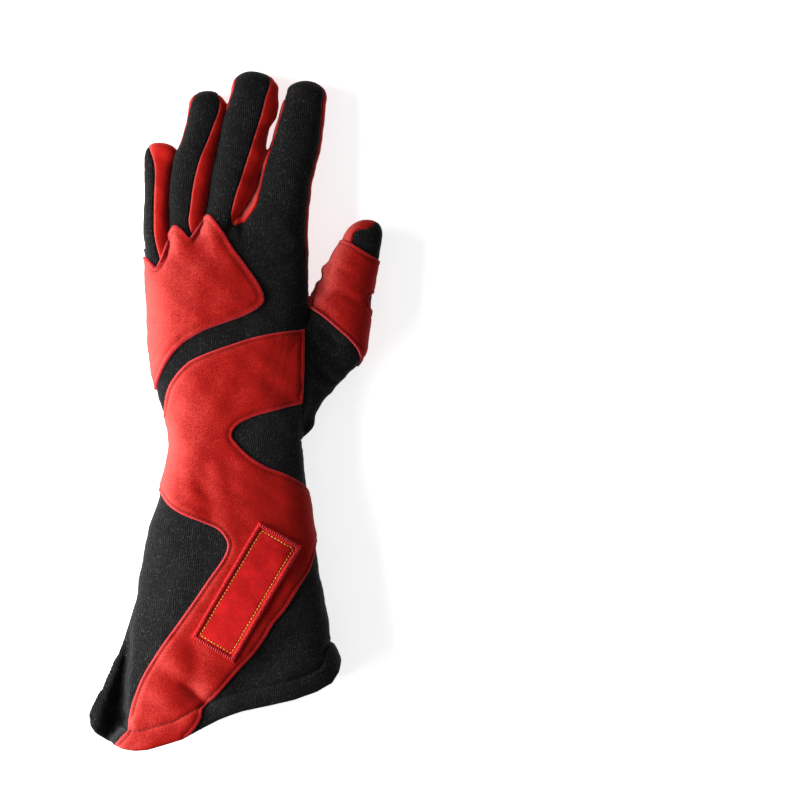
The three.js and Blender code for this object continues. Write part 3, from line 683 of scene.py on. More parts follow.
PALM_PATCH = [
    [-55, 88], (-48, 92), (-43.5, 93.5), [-36, 83], (-31, 92), (-26, 102.5), [-18.4, 87.5], (-11, 97),
    (-5.5, 105.5), [3.2, 90], (12, 101), (21, 107), (30, 100), [36, 88], (37, 78), [33, 69], (15, 68.8),
    (6, 66.5), (0, 58), (-3.4, 41.6), (-6.4, 26), (-13.9, 15.7), (-27, 10), (-38.5, 10.5), [-46, 17],
    [-55, 20],
]

# Lines of the seams that quilt the palm's patch
PALM_CHANNELS = (
    ((-20.4, 88), (-14.5, 74), (-13.2, 56), (-14.6, 40), (-20, 27), (-31, 14)),
    ((-34, 80), (-24, 87), (-12, 88), (4, 80), (20, 78), (36, 79)),
    ((-34, 78), (-35.4, 58), (-33, 40), (-28, 26), (-22, 18)),
)


# The skin: a triangle mesh that fields can cut


class Skin:
    """Triangles with values at their corners, which survive being cut and picked apart."""

    def __init__(self, points: Array, faces: Array, data: dict[str, Array] | None = None) -> None:
        """Keeps the mesh.

        Args:
            points: Places in millimetres, from the tables' zero.
            faces: Three points for each face.
            data: Named values for each point.
        """
        self.points = points
        self.faces = faces
        self.data = data or {}
        self._known: tuple[Array, Array] | None = None

    def directed(self) -> Array:
        """The three edges of every face, in its own direction."""
        return np.vstack([self.faces[:, [k, (k + 1) % 3]] for k in range(3)])

    def edges(self) -> Array:
        """Finds every edge once.

        Returns:
            The edges, as pairs of points.
        """
        if self._known is None or self._known[0] is not self.faces:
            pairs = np.sort(self.directed(), axis=1)
            keys = np.unique(pairs @ np.array([len(self.points), 1]))
            self._known = self.faces, np.c_[keys // len(self.points), keys % len(self.points)]
        return self._known[1]

    def average(self, values: Array) -> Array:
        """Evens values out over the edges.

        Args:
            values: A row of values for each point.

        Returns:
            Each point's mean of its neighbours' rows.
        """
        pairs = self.edges()
        n = len(self.points)
        total = np.zeros_like(values)
        count = np.bincount(pairs.ravel(), minlength=n)
        for k in range(values.shape[1]):
            total[:, k] = np.bincount(pairs[:, 0], values[pairs[:, 1], k], n)
            total[:, k] += np.bincount(pairs[:, 1], values[pairs[:, 0], k], n)
        return total / np.maximum(count, 1)[:, None]

    def normals(self, smoothing: int = 0) -> Array:
        """Unit normals, weighted by area.

        Args:
            smoothing: How often they are evened out.

        Returns:
            A direction for each point.
        """
        corners = self.points[self.faces]
        flat = np.cross(corners[:, 1] - corners[:, 0], corners[:, 2] - corners[:, 0])
        out = np.zeros_like(self.points)
        for k in range(3):
            for j in range(3):
                out[:, k] += np.bincount(self.faces[:, j], flat[:, k], len(self.points))
        for _ in range(smoothing):
            out /= np.maximum(np.linalg.norm(out, axis=1, keepdims=True), 1e-9)
            out = 0.4 * out + 0.6 * self.average(out)
        return out / np.maximum(np.linalg.norm(out, axis=1, keepdims=True), 1e-9)

    def relax(self, rounds: int) -> None:
        """Smooths the points without shrinking the form.

        Args:
            rounds: How often it is done.
        """
        for _ in range(rounds):
            for weight in (0.5, -0.52):
                self.points = self.points + weight * (self.average(self.points) - self.points)

    def soften(self, weight: Array | float, rounds: int, share: float = 0.7) -> None:
        """Evens out the heights.

        Args:
            weight: How far each point takes part, from 0 to 1.
            rounds: How often it is done.
            share: How far each round goes.
        """
        for _ in range(rounds):
            z = self.points[:, 2:]
            self.points[:, 2] += share * weight * (self.average(z) - z)[:, 0]

    def plan(self) -> Array:
        """The points as seen in plan, a little apart where two fingers touch."""
        return self.points + np.c_[self.data["plan_shift"], np.zeros((len(self.points), 2))]

    def cut(self, name: str, values: Array, within: Array | None = None, snap: float = 0.07) -> None:
        """Adds points where a field is zero, and keeps the field.

        Args:
            name: The name that the field is kept under.
            values: The field at each point.
            within: Which faces may be cut; all of them if left out.
            snap: Values nearer zero than this become zero, which avoids slivers.
        """
        values = np.where(np.abs(values) < snap, 0.0, values)
        self.data[name] = values
        side = np.sign(values).astype(int)[self.faces]
        active = (side.min(1) < 0) & (side.max(1) > 0)
        if within is not None:
            active &= within
        todo, sides = self.faces[active], side[active]
        if not len(todo):
            return
        has_zero = (sides == 0).any(1)
        odd = np.where(has_zero, 0, -sides.sum(1))
        first = np.argmax(sides == odd[:, None], axis=1)
        turn = (first[:, None] + np.arange(3)) % 3
        faces = np.take_along_axis(todo, turn, axis=1)
        a, b, c = faces.T
        lone = ~has_zero
        ends = np.sort(np.vstack([np.c_[a, b][lone], np.c_[c, a][lone], np.c_[b, c][has_zero]]), axis=1)
        pairs, index = np.unique(ends, axis=0, return_inverse=True)
        index = index.ravel() + len(self.points)
        count = int(lone.sum())
        ab, ca, bc = index[:count], index[count : 2 * count], index[2 * count :]
        low, high = values[pairs[:, 0]], values[pairs[:, 1]]
        t = low / (low - high)
        self.points = np.vstack([self.points, self._between(self.points, pairs, t)])
        for key, old in self.data.items():
            new = self._between(old, pairs, t)
            self.data[key] = np.concatenate([old, np.zeros_like(new) if key == name else new])
        la, lb, lc = faces[lone].T
        za, zb, zc = faces[has_zero].T
        self.faces = np.vstack([
            self.faces[~active],
            np.c_[la, ab, ca], np.c_[ab, lb, lc], np.c_[ab, lc, ca],
            np.c_[za, zb, bc], np.c_[za, bc, zc],
        ])

    @staticmethod
    def _between(values: Array, pairs: Array, t: Array) -> Array:
        """Values part of the way along edges."""
        t = t[:, None] if values.ndim > 1 else t
        return values[pairs[:, 0]] * (1 - t) + values[pairs[:, 1]] * t

    def side(self, name: str) -> Array:
        """Which side of a field each face is on, by the sum of its corners' values."""
        return self.data[name][self.faces].sum(1)

    def cut_half(self, name: str, half: Half, values: Array) -> None:
        """Cuts one half of the glove along a field's zero line.

        Args:
            name: The piece that the field outlines.
            half: The half that is cut.
            values: The field at each point, above 0 inside the piece.
        """
        self.cut(f"{name}{half.value}", values, self.side("level") * half.value > 0)

    def within(self, name: str, half: Half) -> Array:
        """Which faces lie inside a piece's outline on one half of the glove."""
        upper = self.side("level") > 0
        return (upper == (half is Half.BACK)) & (self.side(f"{name}{half.value}") > 0)

    def pick(self, keep: Array) -> "Skin":
        """Picks faces out.

        Args:
            keep: Which faces to keep.

        Returns:
            Those faces, with only their own points.
        """
        faces = self.faces[keep]
        used, index = np.unique(faces, return_inverse=True)
        data = {key: value[used] for key, value in self.data.items()}
        return Skin(self.points[used], index.reshape(faces.shape), data)

    def largest(self) -> "Skin":
        """Leaves out the crumbs that cuts leave.

        Returns:
            The biggest connected part.
        """
        root = np.arange(len(self.points))
        while True:
            lowest = root[self.faces].min(1)
            new = root.copy()
            for k in range(3):
                np.minimum.at(new, self.faces[:, k], lowest)
            new = new[new]
            if np.array_equal(new, root):
                break
            root = new
        labels = root[self.faces[:, 0]]
        names, counts = np.unique(labels, return_counts=True)
        return self.pick(labels == names[counts.argmax()])

    def rim(self) -> Array:
        """Finds the open border.

        Returns:
            The directed edges that only one face has.
        """
        directed = self.directed()
        key = np.sort(directed, axis=1) @ np.array([len(self.points), 1])
        _, index, count = np.unique(key, return_index=True, return_counts=True)
        return directed[index[count == 1]]

    def at_hem(self) -> Array:
        """Which edges of the rim lie on the hem."""
        return (np.abs(self.data["hem"][self.rim()]) < 0.02).all(1)

    def from_seams(self) -> Array:
        """Distance from each point to the rim, apart from the hem."""
        return self.distance_to(self.rim()[~self.at_hem()])

    def from_hem(self, far: float = 30.0) -> Array:
        """Distance from each point to the hem, and far on a piece that doesn't reach it."""
        return np.clip(self.data["hem"], 0, far) if self.at_hem().any() else np.full(len(self.points), far)

    def kept_normals(self) -> Array:
        """The smooth normals of the whole form, which were kept before it was cut."""
        kept = np.stack([self.data[f"normal_{k}"] for k in "xyz"], axis=1)
        return kept / np.linalg.norm(kept, axis=1, keepdims=True)

    def distance_to(self, pairs: Array, reach: float = 14.0) -> Array:
        """Distance from each point to some of the skin's edges.

        Args:
            pairs: The edges, as pairs of points.
            reach: The distance given to points that are further away.

        Returns:
            A distance for each point.
        """
        out = np.full(len(self.points), reach)
        if not len(pairs):
            return out
        a, b = self.points[pairs[:, 0]], self.points[pairs[:, 1]]
        samples = np.vstack([a + (b - a) * t for t in (0.0, 0.25, 0.5, 0.75)])
        tree = kdtree.KDTree(len(samples))
        for i, p in enumerate(samples):
            tree.insert(p, i)
        tree.balance()
        low, high = samples.min(0) - reach, samples.max(0) + reach
        near = np.flatnonzero(np.all((self.points > low) & (self.points < high), axis=1))
        for i in near:
            out[i] = min(reach, tree.find(self.points[i])[2])
        out[np.unique(pairs)] = 0.0
        return out

    def wall(self, outer: Array, inner: Array, normals: Array) -> "Skin":
        """A closed wall between two distances along the normals.

        Args:
            outer: How far out the outside lies, for each point.
            inner: How far out the inside lies, for each point.
            normals: The directions that both are measured along.

        Returns:
            The wall, outside first, with each value repeated for the inside.
        """
        n = len(self.points)
        points = np.vstack([self.points + normals * outer[:, None], self.points + normals * inner[:, None]])
        points[:, 2] = np.maximum(points[:, 2], 0.02)
        a, b = self.rim().T
        faces = np.vstack([self.faces, self.faces[:, ::-1] + n, np.c_[b, a, a + n], np.c_[b, a + n, b + n]])
        return Skin(points, faces, {key: np.concatenate([v, v]) for key, v in self.data.items()})

    def lines(self, name: str, where: Array | None = None) -> Array:
        """The edges that run along a field's zero line.

        Args:
            name: The field.
            where: Which points they may use; all of them if left out.

        Returns:
            The edges, as pairs of points.
        """
        flat = self.data[name] == 0.0
        if where is not None:
            flat &= where
        pairs = self.edges()
        return pairs[flat[pairs].all(1)]

    def row(self, name: str, lift: float, where: Array | None = None) -> Lines:
        """A field's zero line, as the guide of a row of stitches.

        Args:
            name: The field.
            lift: How far above the skin the guide lies.
            where: Which points it may use; all of them if left out.

        Returns:
            Its points, its facing directions and its edges.
        """
        up = self.normals(3)
        return self.points + up * lift, up, self.lines(name, where)

    def piece(self, name: str, finish: "Finish", smooth_angle: float = 55.0) -> bpy.types.Object:
        """The skin as a Blender object in the row's frame.

        Args:
            name: The object's name.
            finish: The finish that it is given.
            smooth_angle: Edges sharper than this, in degrees, stay sharp.

        Returns:
            The object, at the origin, with its point values as attributes.
        """
        mesh = bpy.data.meshes.new(name)
        mesh.from_pydata(((self.points + TABLE_SHIFT) * MM).tolist(), [], self.faces.tolist())
        mesh.validate()
        # Painted highlight: how far each point faces left, towards the lamp; the suede is painted paler there
        self.data["nap_and_lit_side"] = -self.normals(8)[:, 0]
        for key in ("raw", "painted_groove_shade", "nap_and_lit_side"):
            if key in self.data:
                values = self.data[key].astype(np.float32)
                mesh.attributes.new(key, "FLOAT", "POINT").data.foreach_set("value", values)
        mesh.shade_smooth()
        mesh.set_sharp_from_angle(angle=math.radians(smooth_angle))
        mesh.materials.append(finish.material())
        return placed(name, mesh)


# Finishes


class Wiring:
    """A node tree, built node by node."""

    def __init__(self, tree: bpy.types.NodeTree) -> None:
        """Keeps the tree and clears it."""
        self.tree = tree
        tree.nodes.clear()

    def node(self, kind: str, inputs: dict | None = None, **settings: object) -> bpy.types.Node:
        """Adds a node.

        Args:
            kind: Its class name.
            inputs: Values, sockets or nodes for its inputs, by name or number.
            settings: Its own properties.

        Returns:
            The node.
        """
        made = self.tree.nodes.new(kind)
        for key, value in settings.items():
            setattr(made, key, value)
        for key, value in (inputs or {}).items():
            if isinstance(value, bpy.types.Node):
                value = value.outputs[0]
            if isinstance(value, bpy.types.NodeSocket):
                self.tree.links.new(value, made.inputs[key])
            else:
                made.inputs[key].default_value = value
        return made


class Shader(Wiring):
    """A material's node tree."""

    def __init__(self, name: str) -> None:
        """Makes a material whose tree holds only the piece's own place.

        Args:
            name: The material's name.
        """
        self.material = bpy.data.materials.new(name)
        self.material.use_nodes = True
        super().__init__(self.material.node_tree)
        self.place = self.node("ShaderNodeTexCoord").outputs["Object"]

    def noise(
        self, scale: float, detail: float = 2.0, vector: object = None, roughness: float = 0.5
    ) -> object:
        """Noise over the piece.

        Args:
            scale: Repeats a metre.
            detail: How many finer noises it holds.
            vector: Where it is read; the piece's own place if left out.
            roughness: How strong the finer noises are.

        Returns:
            The noise's socket.
        """
        sizes = {"Scale": scale, "Detail": detail, "Roughness": roughness}
        return self.node("ShaderNodeTexNoise", {"Vector": vector or self.place, **sizes}).outputs["Fac"]

    def math(self, operation: str, a: object, b: object = 0.0) -> object:
        """A sum, product or the like of two numbers."""
        return self.node("ShaderNodeMath", {0: a, 1: b}, operation=operation).outputs[0]

    def times(self, a: object, b: object) -> object:
        """The product of two numbers."""
        return self.math("MULTIPLY", a, b)

    def waves(self, along: object, pitch: float) -> object:
        """Round ridges at a pitch in metres."""
        return self.math("ABSOLUTE", self.math("SINE", self.times(along, math.pi / pitch)))

    def blend(self, *parts: tuple[object, float]) -> object:
        """A sum of numbers, each times its weight.

        Args:
            parts: The numbers with their weights.

        Returns:
            The sum's socket.
        """
        weighed = [self.times(value, weight) for value, weight in parts]
        total = weighed[0]
        for part in weighed[1:]:
            total = self.math("ADD", total, part)
        return total

    def ramp(
        self, value: object, low: float, high: float, start: float = 0.0, end: float = 1.0
    ) -> object:
        """A number moved smoothly from one range to another."""
        inputs = {"Value": value, "From Min": low, "From Max": high, "To Min": start, "To Max": end}
        return self.node("ShaderNodeMapRange", inputs, interpolation_type="SMOOTHSTEP").outputs[0]

    def mix(self, share: object, a: object, b: object) -> object:
        """A colour between two others."""
        return self.node("ShaderNodeMix", {0: share, 6: a, 7: b}, data_type="RGBA").outputs[2]

    def value(self, name: str) -> object:
        """One of the piece's own values."""
        return self.node("ShaderNodeAttribute", attribute_name=name).outputs["Fac"]

    def turned(self, degrees: float, stretch: tuple[float, float, float] = (1, 1, 1)) -> object:
        """The piece's place, turned about the upright and stretched."""
        inputs = {"Vector": self.place, "Rotation": (0, 0, math.radians(degrees)), "Scale": stretch}
        return self.node("ShaderNodeMapping", inputs).outputs[0]

    def over(
        self, color: object, value: object, low: float, high: float, weight: float, top: Color
    ) -> object:
        """Lays a colour over another.

        Args:
            color: The colour below.
            value: What decides how much of the top colour shows.
            low: The value at which none of it shows.
            high: The value at which most of it shows.
            weight: How much of it shows there.
            top: The colour above.

        Returns:
            The colour's socket.
        """
        return self.mix(self.times(self.ramp(value, low, high), weight), color, top)

    def finish(
        self, color: object, height: object, depth: float, strength: float, **constants: object
    ) -> None:
        """Joins colour and relief to a surface shader.

        Args:
            color: The base colour.
            height: The relief, from 0 to 1.
            depth: How deep the relief is, in metres.
            strength: How strongly it shows.
            constants: Values for the shader's own sockets, with _ for a space.
        """
        relief = self.node("ShaderNodeBump", {"Height": height, "Distance": depth, "Strength": strength})
        inputs = {"Base Color": color, "Normal": relief}
        inputs |= {key.replace("_", " "): value for key, value in constants.items()}
        self.node("ShaderNodeOutputMaterial", {"Surface": self.node("ShaderNodeBsdfPrincipled", inputs)})


def darker(color: Color, share: float) -> Color:
    """A share of a colour."""
    return (*(share * c for c in color[:3]), 1.0)


class Finish:
    """A surface finish, whose material is made once."""

    name: str
    slot: Slot

    def material(self) -> bpy.types.Material:
        """Makes the material the first time it is asked for.

        Returns:
            The material.
        """
        made = bpy.data.materials.get(self.name)
        if made is None:
            shader = Shader(self.name)
            self.paint(shader)
            made = shader.material
        return made

    def paint(self, s: Shader) -> None:
        """Builds the nodes of the material's shader."""
        raise NotImplementedError


@dataclass(frozen=True)
class Knit(Finish):
    """Fine-ribbed knit with a grey fleck and a few coloured lint specks."""

    name: str
    rib_turn: float = 0.0
    rib_pitch: float = 0.00118
    loop_pitch: float = 0.0009
    slot: Slot = Slot.KNIT
    yarn: Color = (0.0070, 0.0071, 0.0073, 1.0)
    deep: Color = (0.0012, 0.0012, 0.0013, 1.0)
    fleck: Color = (0.088, 0.088, 0.090, 1.0)
    lint: Color = (0.16, 0.025, 0.022, 1.0)

    def paint(self, s: Shader) -> None:
        """Ribs, loops along them, fibres, fleck and lint.

        Args:
            s: The material's shader.
        """
        apart = s.node("ShaderNodeSeparateXYZ", {0: s.turned(self.rib_turn)})
        wobble = s.times(s.math("SUBTRACT", s.noise(230, 2), 0.5), 0.0016)
        rib = s.waves(s.math("ADD", apart.outputs[0], wobble), self.rib_pitch)
        loop = s.waves(apart.outputs[1], self.loop_pitch)
        fibre = s.noise(1100, 3, roughness=0.7)
        tone = s.blend((rib, 0.42), (s.ramp(fibre, 0.3, 0.7), 0.58))
        color = s.mix(s.ramp(tone, 0.18, 0.82), self.deep, self.yarn)
        fine, heather = s.noise(2600, 2, roughness=0.6), s.noise(760, 2, roughness=0.6)
        fleck = s.times(s.ramp(fine, 0.46, 0.70), s.ramp(heather, 0.50, 0.72, 0.1, 0.8))
        color = s.mix(fleck, color, self.fleck)
        cells = s.node("ShaderNodeTexVoronoi", {"Vector": s.place, "Scale": 210.0})
        speck = s.ramp(cells.outputs["Distance"], 0.10, 0.06)
        rare = s.ramp(s.node("ShaderNodeSeparateColor", {0: cells.outputs["Color"]}).outputs[0], 0.70, 0.74)
        color = s.mix(s.times(s.times(speck, rare), 0.6), color, self.lint)
        height = s.blend((rib, 0.6), (loop, 0.16), (fibre, 0.7))
        s.finish(color, height, 0.0005, 0.6, Roughness=0.95, Specular_IOR_Level=0.1, Sheen_Weight=0.12,
                 Sheen_Roughness=0.32, Sheen_Tint=(0.9, 0.9, 0.92, 1.0))


@dataclass(frozen=True)
class Suede(Finish):
    """Brushed suede: a soft change of tone, a fine grain, a paler raw edge, a painted highlight and painted
    shade.
    """

    name: str
    slot: Slot = Slot.SUEDE
    deep: Color = (0.245, 0.0042, 0.0026, 1.0)
    lifted: Color = (0.37, 0.0095, 0.0070, 1.0)
    # Painted highlight: the paler, pinker colour of the sides that face the lamp on the left
    painted_highlight: Color = (0.46, 0.057, 0.050, 1.0)
    raw: Color = (0.46, 0.032, 0.053, 1.0)
    sheen: float = 0.22

    def paint(self, s: Shader) -> None:
        """Brush marks, grain, fibres, the raw edge, painted highlight facing left, painted shade in seam
        grooves.

        Args:
            s: The material's shader.
        """
        brushed = s.noise(55, 3, s.turned(32, (1.0, 0.5, 1.0)))
        mottle = s.noise(330, 3, roughness=0.6)
        grain = s.noise(1350, 3, roughness=0.7)
        fibre = s.noise(2600, 2, roughness=0.7)
        nap_and_lit_side = s.blend((brushed, 0.16), (mottle, 0.10), (grain, 0.68))
        color = s.mix(s.ramp(nap_and_lit_side, 0.35, 0.65), self.deep, self.lifted)
        # Painted highlight: sides facing left, towards the lamp, turn paler and pinker, broken up by the tone
        # noise
        painted_highlight = s.math("ADD", s.value("nap_and_lit_side"), s.times(s.math("SUBTRACT", nap_and_lit_side, 0.5), 1.6))
        color = s.mix(s.ramp(painted_highlight, -0.12, 0.74), color, self.painted_highlight)
        color = s.over(color, grain, 0.62, 0.80, 0.22, self.raw)
        dark = darker(self.deep, 0.4)
        color = s.over(color, fibre, 0.50, 0.30, 0.5, dark)
        edge = s.times(s.value("raw"), s.ramp(grain, 0.3, 0.7, 0.5, 1.0))
        color = s.mix(s.times(edge, 0.75), color, self.raw)
        # Painted shade: darker in the grooves along the seams and the topstitching
        color = s.mix(s.times(s.value("painted_groove_shade"), 0.22), color, dark)
        height = s.blend((fibre, 0.4), (grain, 0.9), (mottle, 0.35))
        s.finish(color, height, 0.0005, 0.7, Roughness=0.92, Specular_IOR_Level=0.06,
                 Sheen_Weight=self.sheen, Sheen_Roughness=0.35, Sheen_Tint=(1.0, 0.62, 0.58, 1.0))


@dataclass(frozen=True)
class Thread(Finish):
    """Twisted sewing thread."""

    name: str
    color: Color
    slot: Slot = Slot.SUEDE
    gloss: float = 0.62

    def paint(self, s: Shader) -> None:
        """A tone that varies, and the twist of the plies.

        Args:
            s: The material's shader.
        """
        color = s.mix(s.ramp(s.noise(900, 2), 0.3, 0.7), darker(self.color, 0.45), self.color)
        plies = {"Vector": s.place, "Scale": 900.0, "Distortion": 1.5}
        twist = s.node("ShaderNodeTexWave", plies, bands_direction="DIAGONAL")
        s.finish(color, twist.outputs["Fac"], 0.0001, 0.4, Roughness=self.gloss, Specular_IOR_Level=0.2)


@dataclass(frozen=True)
class Twill(Finish):
    """Tight diagonal weave."""

    name: str
    color: Color = (0.49, 0.0085, 0.0095, 1.0)
    hollow: Color = (0.14, 0.003, 0.003, 1.0)
    fuzz: Color = (0.66, 0.05, 0.05, 1.0)
    turn: float = 13.0
    rib_pitch: float = 0.00075
    slot: Slot = Slot.TWILL

    def paint(self, s: Shader) -> None:
        """Fine diagonal ribs with a slight change of tone.

        Args:
            s: The material's shader.
        """
        apart = s.node("ShaderNodeSeparateXYZ", {0: s.turned(self.turn)})
        rib = s.waves(apart.outputs[0], self.rib_pitch)
        fuzz = s.noise(3200, 2)
        color = s.mix(s.ramp(s.noise(260, 3), 0.3, 0.7), darker(self.color, 0.78), self.color)
        color = s.over(color, rib, 0.45, 0.0, 0.3, self.hollow)
        color = s.over(color, fuzz, 0.6, 0.8, 0.15, self.fuzz)
        height = s.blend((rib, 1.0), (fuzz, 0.4))
        s.finish(color, height, 0.0002, 0.5, Roughness=0.75, Specular_IOR_Level=0.06)


HAND_KNIT = Knit("hand_knit", -4.0, yarn=(0.0042, 0.0042, 0.0043, 1.0), fleck=(0.08, 0.079, 0.08, 1.0))
CUFF_KNIT = Knit("cuff_knit", rib_turn=6.0)
RED_SUEDE = Suede("red_suede_nap")
# The strips between the fingers get a lighter copy of the red suede: painted light, as if more light fell on
# them
LIT_GUSSET_SUEDE = Suede("lit_gusset_suede", deep=(0.40, 0.0065, 0.0045, 1.0), lifted=(0.54, 0.015, 0.011, 1.0))
BLACK_SUEDE = Suede(
    "black_suede_nap", Slot.PATCH, (0.0050, 0.0050, 0.0053, 1.0), (0.013, 0.013, 0.0135, 1.0),
    (0.022, 0.022, 0.0225, 1.0), (0.05, 0.047, 0.047, 1.0), 0.14,
)
EDGE_THREAD = Thread("edge_thread", (0.47, 0.026, 0.045, 1.0))
BLACK_THREAD = Thread("black_thread", (0.012, 0.012, 0.013, 1.0), Slot.KNIT)
DARK_RED_THREAD = Thread("dark_red_thread", (0.15, 0.006, 0.007, 1.0))
YELLOW_THREAD = Thread("yellow_thread", (0.80, 0.53, 0.08, 1.0), Slot.TWILL, 0.5)
BORDER_THREAD = Thread("border_thread", (0.48, 0.014, 0.020, 1.0), Slot.TWILL, 0.4)
BADGE_TWILL = Twill("badge_twill")


# Stitches


@dataclass(frozen=True)
class Stitching:
    """A row of stitches that Geometry Nodes lay along lines on a surface."""

    finish: Finish
    pitch: float = 2.1
    length: float = 1.9
    width: float = 0.55
    height: float = 0.42
    slant: float = 0.0
    lean: float = 0.0

    def tree(self, name: str) -> tuple[bpy.types.NodeTree, dict[str, str]]:
        """Builds the node tree.

        Args:
            name: What it is called.

        Returns:
            The tree, and the identifier of each of its named sizes.
        """
        tree = bpy.data.node_groups.new(name, "GeometryNodeTree")
        socket = tree.interface.new_socket
        socket("Geometry", in_out="INPUT", socket_type="NodeSocketGeometry")
        found = {}
        for size in ("Pitch", "Length", "Width", "Height", "Slant", "Lean"):
            found[size] = socket(size, in_out="INPUT", socket_type="NodeSocketFloat").identifier
        socket("Geometry", in_out="OUTPUT", socket_type="NodeSocketGeometry")
        node = Wiring(tree).node
        given = node("NodeGroupInput").outputs
        path = node("GeometryNodeMeshToCurve", {"Mesh": given["Geometry"]})
        spread = node("GeometryNodeResampleCurve", {"Curve": path, "Length": given["Pitch"]}, mode="LENGTH")
        facing = node("GeometryNodeInputNamedAttribute", {"Name": "facing"}, data_type="FLOAT_VECTOR")
        axes = {"Primary Axis": facing, "Secondary Axis": node("GeometryNodeInputTangent")}
        aim = node("FunctionNodeAxesToRotation", axes, primary_axis="Z", secondary_axis="X")
        # Every other stitch slants the other way
        odd = node("ShaderNodeMath", {0: node("GeometryNodeInputIndex"), 1: 2.0}, operation="MODULO")
        sign = node("ShaderNodeMath", {0: odd, 1: 2.0, 2: -1.0}, operation="MULTIPLY_ADD")
        slanted = {0: sign, 1: given["Slant"], 2: given["Lean"]}
        lean = node("ShaderNodeMath", slanted, operation="MULTIPLY_ADD")
        angles = node("ShaderNodeCombineXYZ", {"Z": lean})
        turned = node("FunctionNodeRotateRotation", {0: aim, 1: angles}, rotation_space="LOCAL")
        ball = node("GeometryNodeMeshUVSphere", {"Segments": 6, "Rings": 4, "Radius": 0.5})
        sizes = {"X": given["Length"], "Y": given["Width"], "Z": given["Height"]}
        scaled = {"Geometry": ball, "Scale": node("ShaderNodeCombineXYZ", sizes)}
        stitch = node("GeometryNodeTransform", scaled)
        places = {"Points": spread, "Instance": stitch, "Rotation": turned}
        laid = node("GeometryNodeInstanceOnPoints", places)
        real = node("GeometryNodeRealizeInstances", {0: laid})
        dye = {"Geometry": real, "Material": self.finish.material()}
        node("NodeGroupOutput", {0: node("GeometryNodeSetMaterial", dye)})
        return tree, found

    def lay(self, name: str, rows: list[Lines]) -> bpy.types.Object:
        """Lays stitches along lines.

        Args:
            name: The new piece's name.
            rows: Points, facing directions and edges of each set of lines.

        Returns:
            The stitches as one plain mesh.
        """
        points, facing, edges, start = [], [], [], 0
        for at, up, pairs in rows:
            used, index = np.unique(pairs, return_inverse=True)
            points.append(at[used])
            facing.append(up[used])
            edges.append(index.reshape(pairs.shape) + start)
            start += len(used)
        guide = bpy.data.meshes.new(name + "_guide")
        at = (np.vstack(points) + TABLE_SHIFT) * MM
        guide.from_pydata(at.tolist(), np.vstack(edges).tolist(), [])
        upwards = guide.attributes.new("facing", "FLOAT_VECTOR", "POINT").data
        upwards.foreach_set("vector", np.vstack(facing).astype(np.float32).ravel())
        holder = placed(name + "_guide", guide)
        modifier = holder.modifiers.new("stitches", "NODES")
        modifier.node_group, found = self.tree(name + "_rows")
        for size, identifier in found.items():
            value = getattr(self, size.lower())
            modifier[identifier] = math.radians(value) if size in ("Slant", "Lean") else value * MM
        mesh = applied(holder)
        mesh.name = name
        mesh.shade_smooth()
        return placed(name, mesh)


TOPSTITCH = Stitching(DARK_RED_THREAD, pitch=1.8, length=1.25, width=0.5, height=0.5)
PATCH_STITCH = Stitching(BLACK_THREAD, pitch=2.1, length=1.8)
OVERLOCK = Stitching(EDGE_THREAD, pitch=1.1, length=1.5, width=0.32, height=0.34, slant=14.0, lean=62.0)
OVERLOCK_INSET = 0.85
HEM_STITCH = Stitching(BLACK_THREAD, pitch=2.6, length=2.2, width=0.6, height=0.55)
ZIGZAG = Stitching(DARK_RED_THREAD, pitch=1.5, length=3.4, width=0.5, height=0.5, slant=58.0)


# The base form


@dataclass(frozen=True)
class Crease:
    """A fold in the back's cloth, drawn as a line in plan, with a soft ridge on either side."""

    start: Point
    end: Point
    width: float
    depth: float
    wraps: bool = False

    def relief(self, points: Array, level: Array) -> Array:
        """Shapes the fold.

        Args:
            points: Where the skin lies.
            level: Its height above the side seam.

        Returns:
            How far the fold moves each point along its normal.
        """
        t, squared = off_line(points[:, 0], points[:, 1], self.start, self.end)
        away = np.sqrt(squared)
        taper = np.sin(np.pi * np.clip(0.12 + 0.76 * t, 0, 1))
        shape = bump(away, self.width) - 0.45 * bump(away - 2.1 * self.width, self.width)
        on_back = 1.0 if self.wraps else ease(level / 5.0 + 0.2)
        return -self.depth * shape * taper * on_back


BACK_CREASES = tuple(Crease(*row) for row in (
    ((-40, -146), (-13, -164), 5.2, 2.5), ((-28, -154), (-15, -164), 2.3, 1.3),
    ((6, -150), (34, -128), 6.0, 1.5), ((-48, -112), (-38, -90), 6.0, 0.8),
    ((-24, -126), (-20, -162), 5.0, 1.1), ((-22, -36), (-17, -48), 2.4, 0.35),
    ((-6, -24), (-2, -50), 3.6, 0.5), ((-30, -50), (-12, -58), 3.0, 0.35),
    ((-36, -20), (-14, -12), 4.0, 0.4), ((-4, -46), (20, -52), 5.0, 0.5),
    ((-34, -2), (-18, -6), 4.0, 0.5), ((8, 20), (30, 8), 5.0, 0.8), ((30, -70), (42, -96), 5.0, 1.0),
    ((-20, 62), (2, 70), 5.5, 0.6), ((18, 92), (34, 96), 5.0, 0.5), ((40, 14), (52, 4), 3.0, 1.2),
    ((42, 24), (58, 14), 2.6, 1.0), ((46, 46), (58, 38), 2.4, 1.0), ((44, 58), (54, 54), 2.0, 1.0),
    ((58, 66), (70, 60), 2.2, 0.8), ((56, 80), (66, 76), 2.0, 0.5),
    ((51.8, 80.6), (49.0, 76.0), 1.5, -1.7, True), ((48.0, 72.5), (45.6, 68.0), 1.5, -1.5, True),
    ((43.0, 59.5), (54.0, 70.0), 2.0, 0.7), ((44.0, 59.0), (52.0, 60.0), 1.6, 0.8),
    ((-15.5, -28.0), (-13.0, -66.0), 4.6, 0.55),
))


